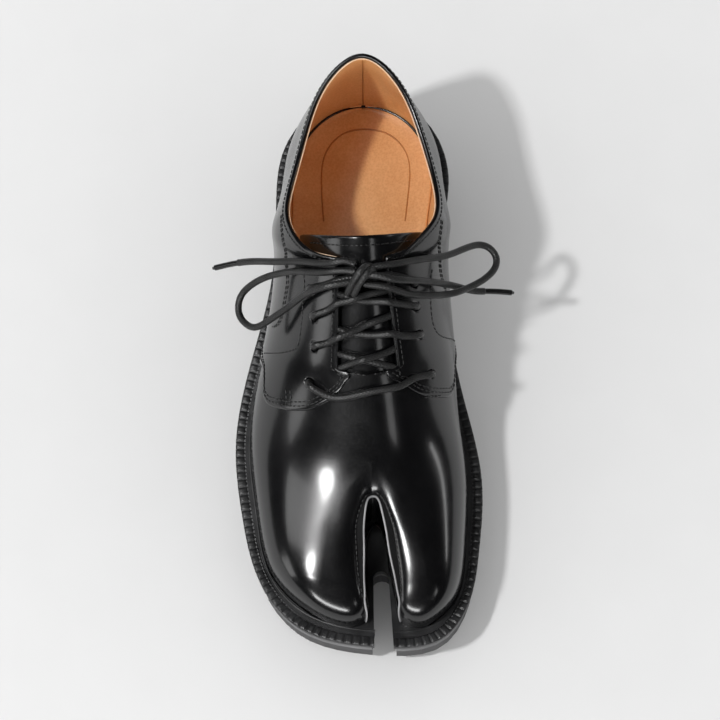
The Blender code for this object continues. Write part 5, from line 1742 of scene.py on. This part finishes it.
    def _tube(self, name: str, line: Array, radius: float | Array, braid: float = 0.0) -> bpy.types.Mesh:
        """Carry a round section along a line, capped at both ends.

        The braid swells the section by two families of strands that wind opposite ways: the larger of two
        cosines of angle plus and minus the way along.

        Args:
            name: mesh name.
            line: points of the middle line.
            radius: of the section, one for all or one for each point.
            braid: height of the strands as a share of the radius.

        Returns:
            The mesh, with its map in millimetres round and along.
        """
        level = 0.6                   # height of the cosines at which the section has its own radius
        way = way_along(line)
        angle = np.arange(self.round_steps + 1) * 2 * math.pi / self.round_steps
        wind = 2 * math.pi * way[:, None] / BRAID_PITCH
        strands = np.maximum(np.cos(LACE_STRANDS * angle - wind), np.cos(LACE_STRANDS * angle + wind))
        radii = np.broadcast_to(np.asarray(radius, float), way.shape)[:, None]
        section = radii * (1.0 + braid * (strands - level))
        caps = [np.broadcast_to(line[i], (1, len(angle), 3)) for i in (0, -1)]
        points = np.concatenate([caps[0], line[:, None] + section[..., None] * spokes(line, angle), caps[1]])
        rows = np.concatenate([[way[0]], way, [way[-1]]])
        uv = np.stack(np.broadcast_arrays((angle * self.radius)[None, :], rows[:, None]), axis=-1)
        quads = grid_quads(*points.shape[:2])[:, ::-1]
        return mesh_of(name, points.reshape(-1, 3), quads, uv=uv.reshape(-1, 2), weld=0.001)

    def _strand(self, name: str, line: Array, node: str) -> bpy.types.Object:
        """Make a braided stretch that stands for its node."""
        return dressed(name, self._tube(name, line, self.radius, self.braid), WAXED_COTTON, node=node)

    def _through(self, row: int, side: int, ahead: Sequence[float]) -> list:
        """Bring a strand up through an eyelet and over its rim.

        Args:
            row: pair of eyelets, counted from the top.
            side: 0 lateral, 1 medial.
            ahead: next point of the strand.

        Returns:
            Three points.
        """
        inside, onward = 0.6, 1.6
        middle, normal = (a[row, side] for a in self._frames)
        away = unit(np.array(ahead) - middle)
        return [middle - self.deep * normal, middle + inside * normal,
                middle + self.clear * normal + onward * away]

    def _under(self, row: int, side: int) -> list:
        """Point under an eyelet where a strand arrives beneath the facing."""
        middle, normal = (a[row, side] for a in self._frames)
        return [middle - self.under * normal]

    def build(self) -> None:
        """Make every stretch of the lace."""
        self._frames = self.upper.eyelet_frames()
        bar = self._through(3, 0, self.bar[0]) + list(self.bar) + self._through(3, 1, self.bar[-1])[::-1]
        made = [("lace_bar_braid", bar, "lace_bar")]
        for k, (first, route, last) in enumerate(self.strands):
            node = ("lace_cross_middle", "lace_cross_top")[k // 2]
            line = self._through(*first, route[0]) + list(route) + self._under(*last)
            made.append((f"{node}_braid_{'ab'[k % 2]}", line, node))
        for k, (first, route, last) in enumerate(self.hidden):
            line = self._under(*first) + list(route) + self._under(*last)
            made.append((f"lace_cross_low_braid_{'ab'[k]}", line, "lace_cross_low"))
        for (first, route), side in zip(self.ties, ("lateral", "medial")):
            line = self._through(*first, route[0]) + list(route)
            made.append((f"lace_tie_{side}_braid", line, f"lace_tie_{side}"))
        lines = {name: Spline(route).even(self.step) for name, route, _ in made}
        for a in [name for name in lines if name.endswith("_a")]:
            self._hump(lines, a, a[:-1] + "b")
        for name, _, node in made:
            self._strand(name, lines[name], node)
        for k, route in enumerate(self.knot):
            self._strand(f"lace_knot_braid_{k}", Spline(route).even(self.step), "lace_knot")
        for side, route in self.loops.items():
            line = relax(Spline(route).even(self.step), self.step, self.slack)
            self._free(f"lace_loop_{side}", line)
        for side, route in self.ends.items():
            line = Spline(route).even(self.step)
            left = np.linalg.norm(line - line[-1], axis=1)
            tip = self._tip(side, line[left < self.tip_length + 1.0])
            self._free(f"lace_end_{side}", line[left > self.tip_length])

    def _tip(self, side: str, line: Array) -> bpy.types.Object:
        """Make the film wound round one end of the lace, narrower at its very end.

        Args:
            side: lateral or medial.
            line: points of its middle line.

        Returns:
            The piece.
        """
        rounding, least = 1.2, 0.55
        name = f"lace_tip_{side}_acetate"
        taper = np.clip(np.linalg.norm(line - line[-1], axis=1) / rounding, least, 1.0)
        return dressed(name, self._tube(name, line, self.tip_radius * taper), ACETATE, node=f"lace_tip_{side}")

    def _hump(self, lines: dict, over: str, under: str) -> None:
        """Lift one strand over the other where they cross: a bell along the instep's normal.

        Args:
            lines: middle lines by name; the lifted one is put back.
            over: name of the upper strand.
            under: name of the lower one.
        """
        outward = np.array([0.0, -0.35, 0.94])
        gap = np.linalg.norm(lines[over][:, None, :2] - lines[under][None, :, :2], axis=2)
        i, j = np.unravel_index(np.argmin(gap), gap.shape)
        distance = np.linalg.norm(lines[over] - lines[over][i], axis=1)
        need = self.clear - (lines[over][i, 2] - lines[under][j, 2])
        lines[over] = lines[over] + need * np.exp(-(distance / self.hump) ** 2)[:, None] * outward

    def _free(self, node: str, line: Array) -> None:
        """Args:
            node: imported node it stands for.
            line: its middle line, from the knot outward.
        """
        obj = self._strand(node + "_braid", line, node)


class LampUse(Enum):
    """What a lamp is for."""

    SHADE = "light and shadow"
    REFLECTION = "a shape that the polish mirrors"


@dataclass
class Studio:
    """Pale floor, soft light and the camera of the photograph, turned on its own place to centre the shoe."""

    distance: float = 2000.0
    elevation: float = 70.0
    ground: tuple = (55.6, 5.6, 0.0)
    focal_px: float = 4016.0
    zoom: float = 1.12
    aim_px: tuple = (248.0, 348.0)    # the shoe's middle in the photograph
    frame_px: float = 720.0
    sensor: float = 36.0
    walls: float = 2.35               # brightness of the pale room at the horizon
    ceiling: float = 0.0              # and overhead, so that the inside of the shoe stays dark
    # name, use, shape, place in metres, width and height in metres, watts
    lamps: tuple = (
        ("key", LampUse.SHADE, "RECTANGLE", (-1.46, -0.70, 2.54), (0.2, 0.2), 50.0),
        ("round_softbox", LampUse.REFLECTION, "ELLIPSE", (-0.94, -0.38, 2.18), (0.5, 0.66), 35.0),
        ("overhead_panel", LampUse.REFLECTION, "RECTANGLE", (-1.33, 0.2, 1.87), (0.5, 1.9), 9.5),
        ("left_panel", LampUse.REFLECTION, "RECTANGLE", (-1.7, -0.41, 0.45), (0.48, 0.65), 2.6),
        ("front_strip", LampUse.REFLECTION, "RECTANGLE", (-0.55, -1.84, 1.27), (1.7, 0.42), 34.0),
        ("right_strip", LampUse.REFLECTION, "RECTANGLE", (1.95, 0.5, 0.75), (0.7, 0.2), 2.4),
        ("right_front_panel", LampUse.REFLECTION, "RECTANGLE", (1.22, -1.08, 1.63), (0.35, 0.35), 1.0),
    )

    def build(self) -> None:
        """Camera first, then floor and lights."""
        self._camera()
        self._floor()
        self._lights()

    def _camera(self) -> None:
        """Place the camera on its ray and aim it at the shoe's place in the picture."""
        tilt = math.radians(self.elevation)
        forward = np.array([0.0, math.cos(tilt), -math.sin(tilt)])
        up = np.array([0.0, math.sin(tilt), math.cos(tilt)])
        right = np.array([1.0, 0.0, 0.0])
        place = np.array(self.ground) - self.distance * forward
        shift = (np.array(self.aim_px) - self.frame_px / 2) / self.focal_px
        aim = unit(forward + right * shift[0] - up * shift[1])
        across = unit(np.cross(aim, up))
        data = bpy.data.cameras.new("camera")
        data.sensor_width = self.sensor
        data.lens = self.focal_px * self.sensor / self.frame_px * self.zoom
        data.clip_end = 20.0
        camera = bpy.data.objects.new("camera", data)
        matrix = np.eye(4)
        matrix[:3] = np.stack([across, np.cross(across, aim), -aim, place * MM], axis=1)
        camera.matrix_world = Matrix(matrix.tolist())
        bpy.context.scene.collection.objects.link(camera)
        bpy.context.scene.camera = camera

    def _floor(self) -> None:
        """Seamless paper, level all over."""
        reach = 2500.0
        corners = reach * np.array([(-1, -1, 0), (1, -1, 0), (1, 1, 0), (-1, 1, 0)], float)
        mesh = mesh_of("studio_floor", corners, np.array([[0, 1, 2, 3]]))
        mesh.materials.append(PAPER.material())
        floor = bpy.data.objects.new("studio_floor", mesh)
        bpy.context.scene.collection.objects.link(floor)

    def _lights(self) -> None:
        """A key for light and shadow, lamps that only show in the polish, and a room that fades upward."""
        scene = bpy.context.scene
        scene.view_settings.view_transform = "Standard"
        world = bpy.data.worlds.new("studio_room")
        world.use_nodes = True
        tree = world.node_tree
        sky = add_node(tree, "ShaderNodeSeparateXYZ", None,
                       {"Vector": add_node(tree, "ShaderNodeTexCoord").outputs["Generated"]})
        room = add_node(tree, "ShaderNodeMapRange", None,
                        {"Value": sky.outputs["Z"], "To Min": self.walls, "To Max": self.ceiling})
        tree.nodes["Background"].inputs["Color"].default_value = (1.0, 1.0, 1.0, 1.0)
        tree.links.new(room.outputs[0], tree.nodes["Background"].inputs["Strength"])
        world.cycles_visibility.glossy = False
        scene.world = world
        for name, use, shape, place, size, power in self.lamps:
            data = bpy.data.lights.new(name, "AREA")
            data.shape = shape
            data.size, data.size_y = size
            data.energy = power
            lamp = bpy.data.objects.new(name, data)
            lamp.location = place
            lamp.rotation_euler = Vector(place).to_track_quat("Z", "Y").to_euler()
            lamp.visible_glossy = use is LampUse.REFLECTION
            lamp.visible_diffuse = use is LampUse.SHADE
            scene.collection.objects.link(lamp)


def main() -> None:
    """Build the studio, then each sub-assembly in order."""
    logging.basicConfig(level=logging.INFO, format="%(name)s: %(message)s")
    Studio().build()
    sole = SoleShape()
    last = Last(sole)
    upper = Upper(last)
    Lace(upper).build()
    upper.build()
    tongue = Tongue(last)
    tongue.build()
    Sock(last, sole).build()
    Stitching(upper, tongue).build()
    Welt(sole).build()
    Sole().dress(frame["nodes"])


if __name__ == "__main__":
    main()
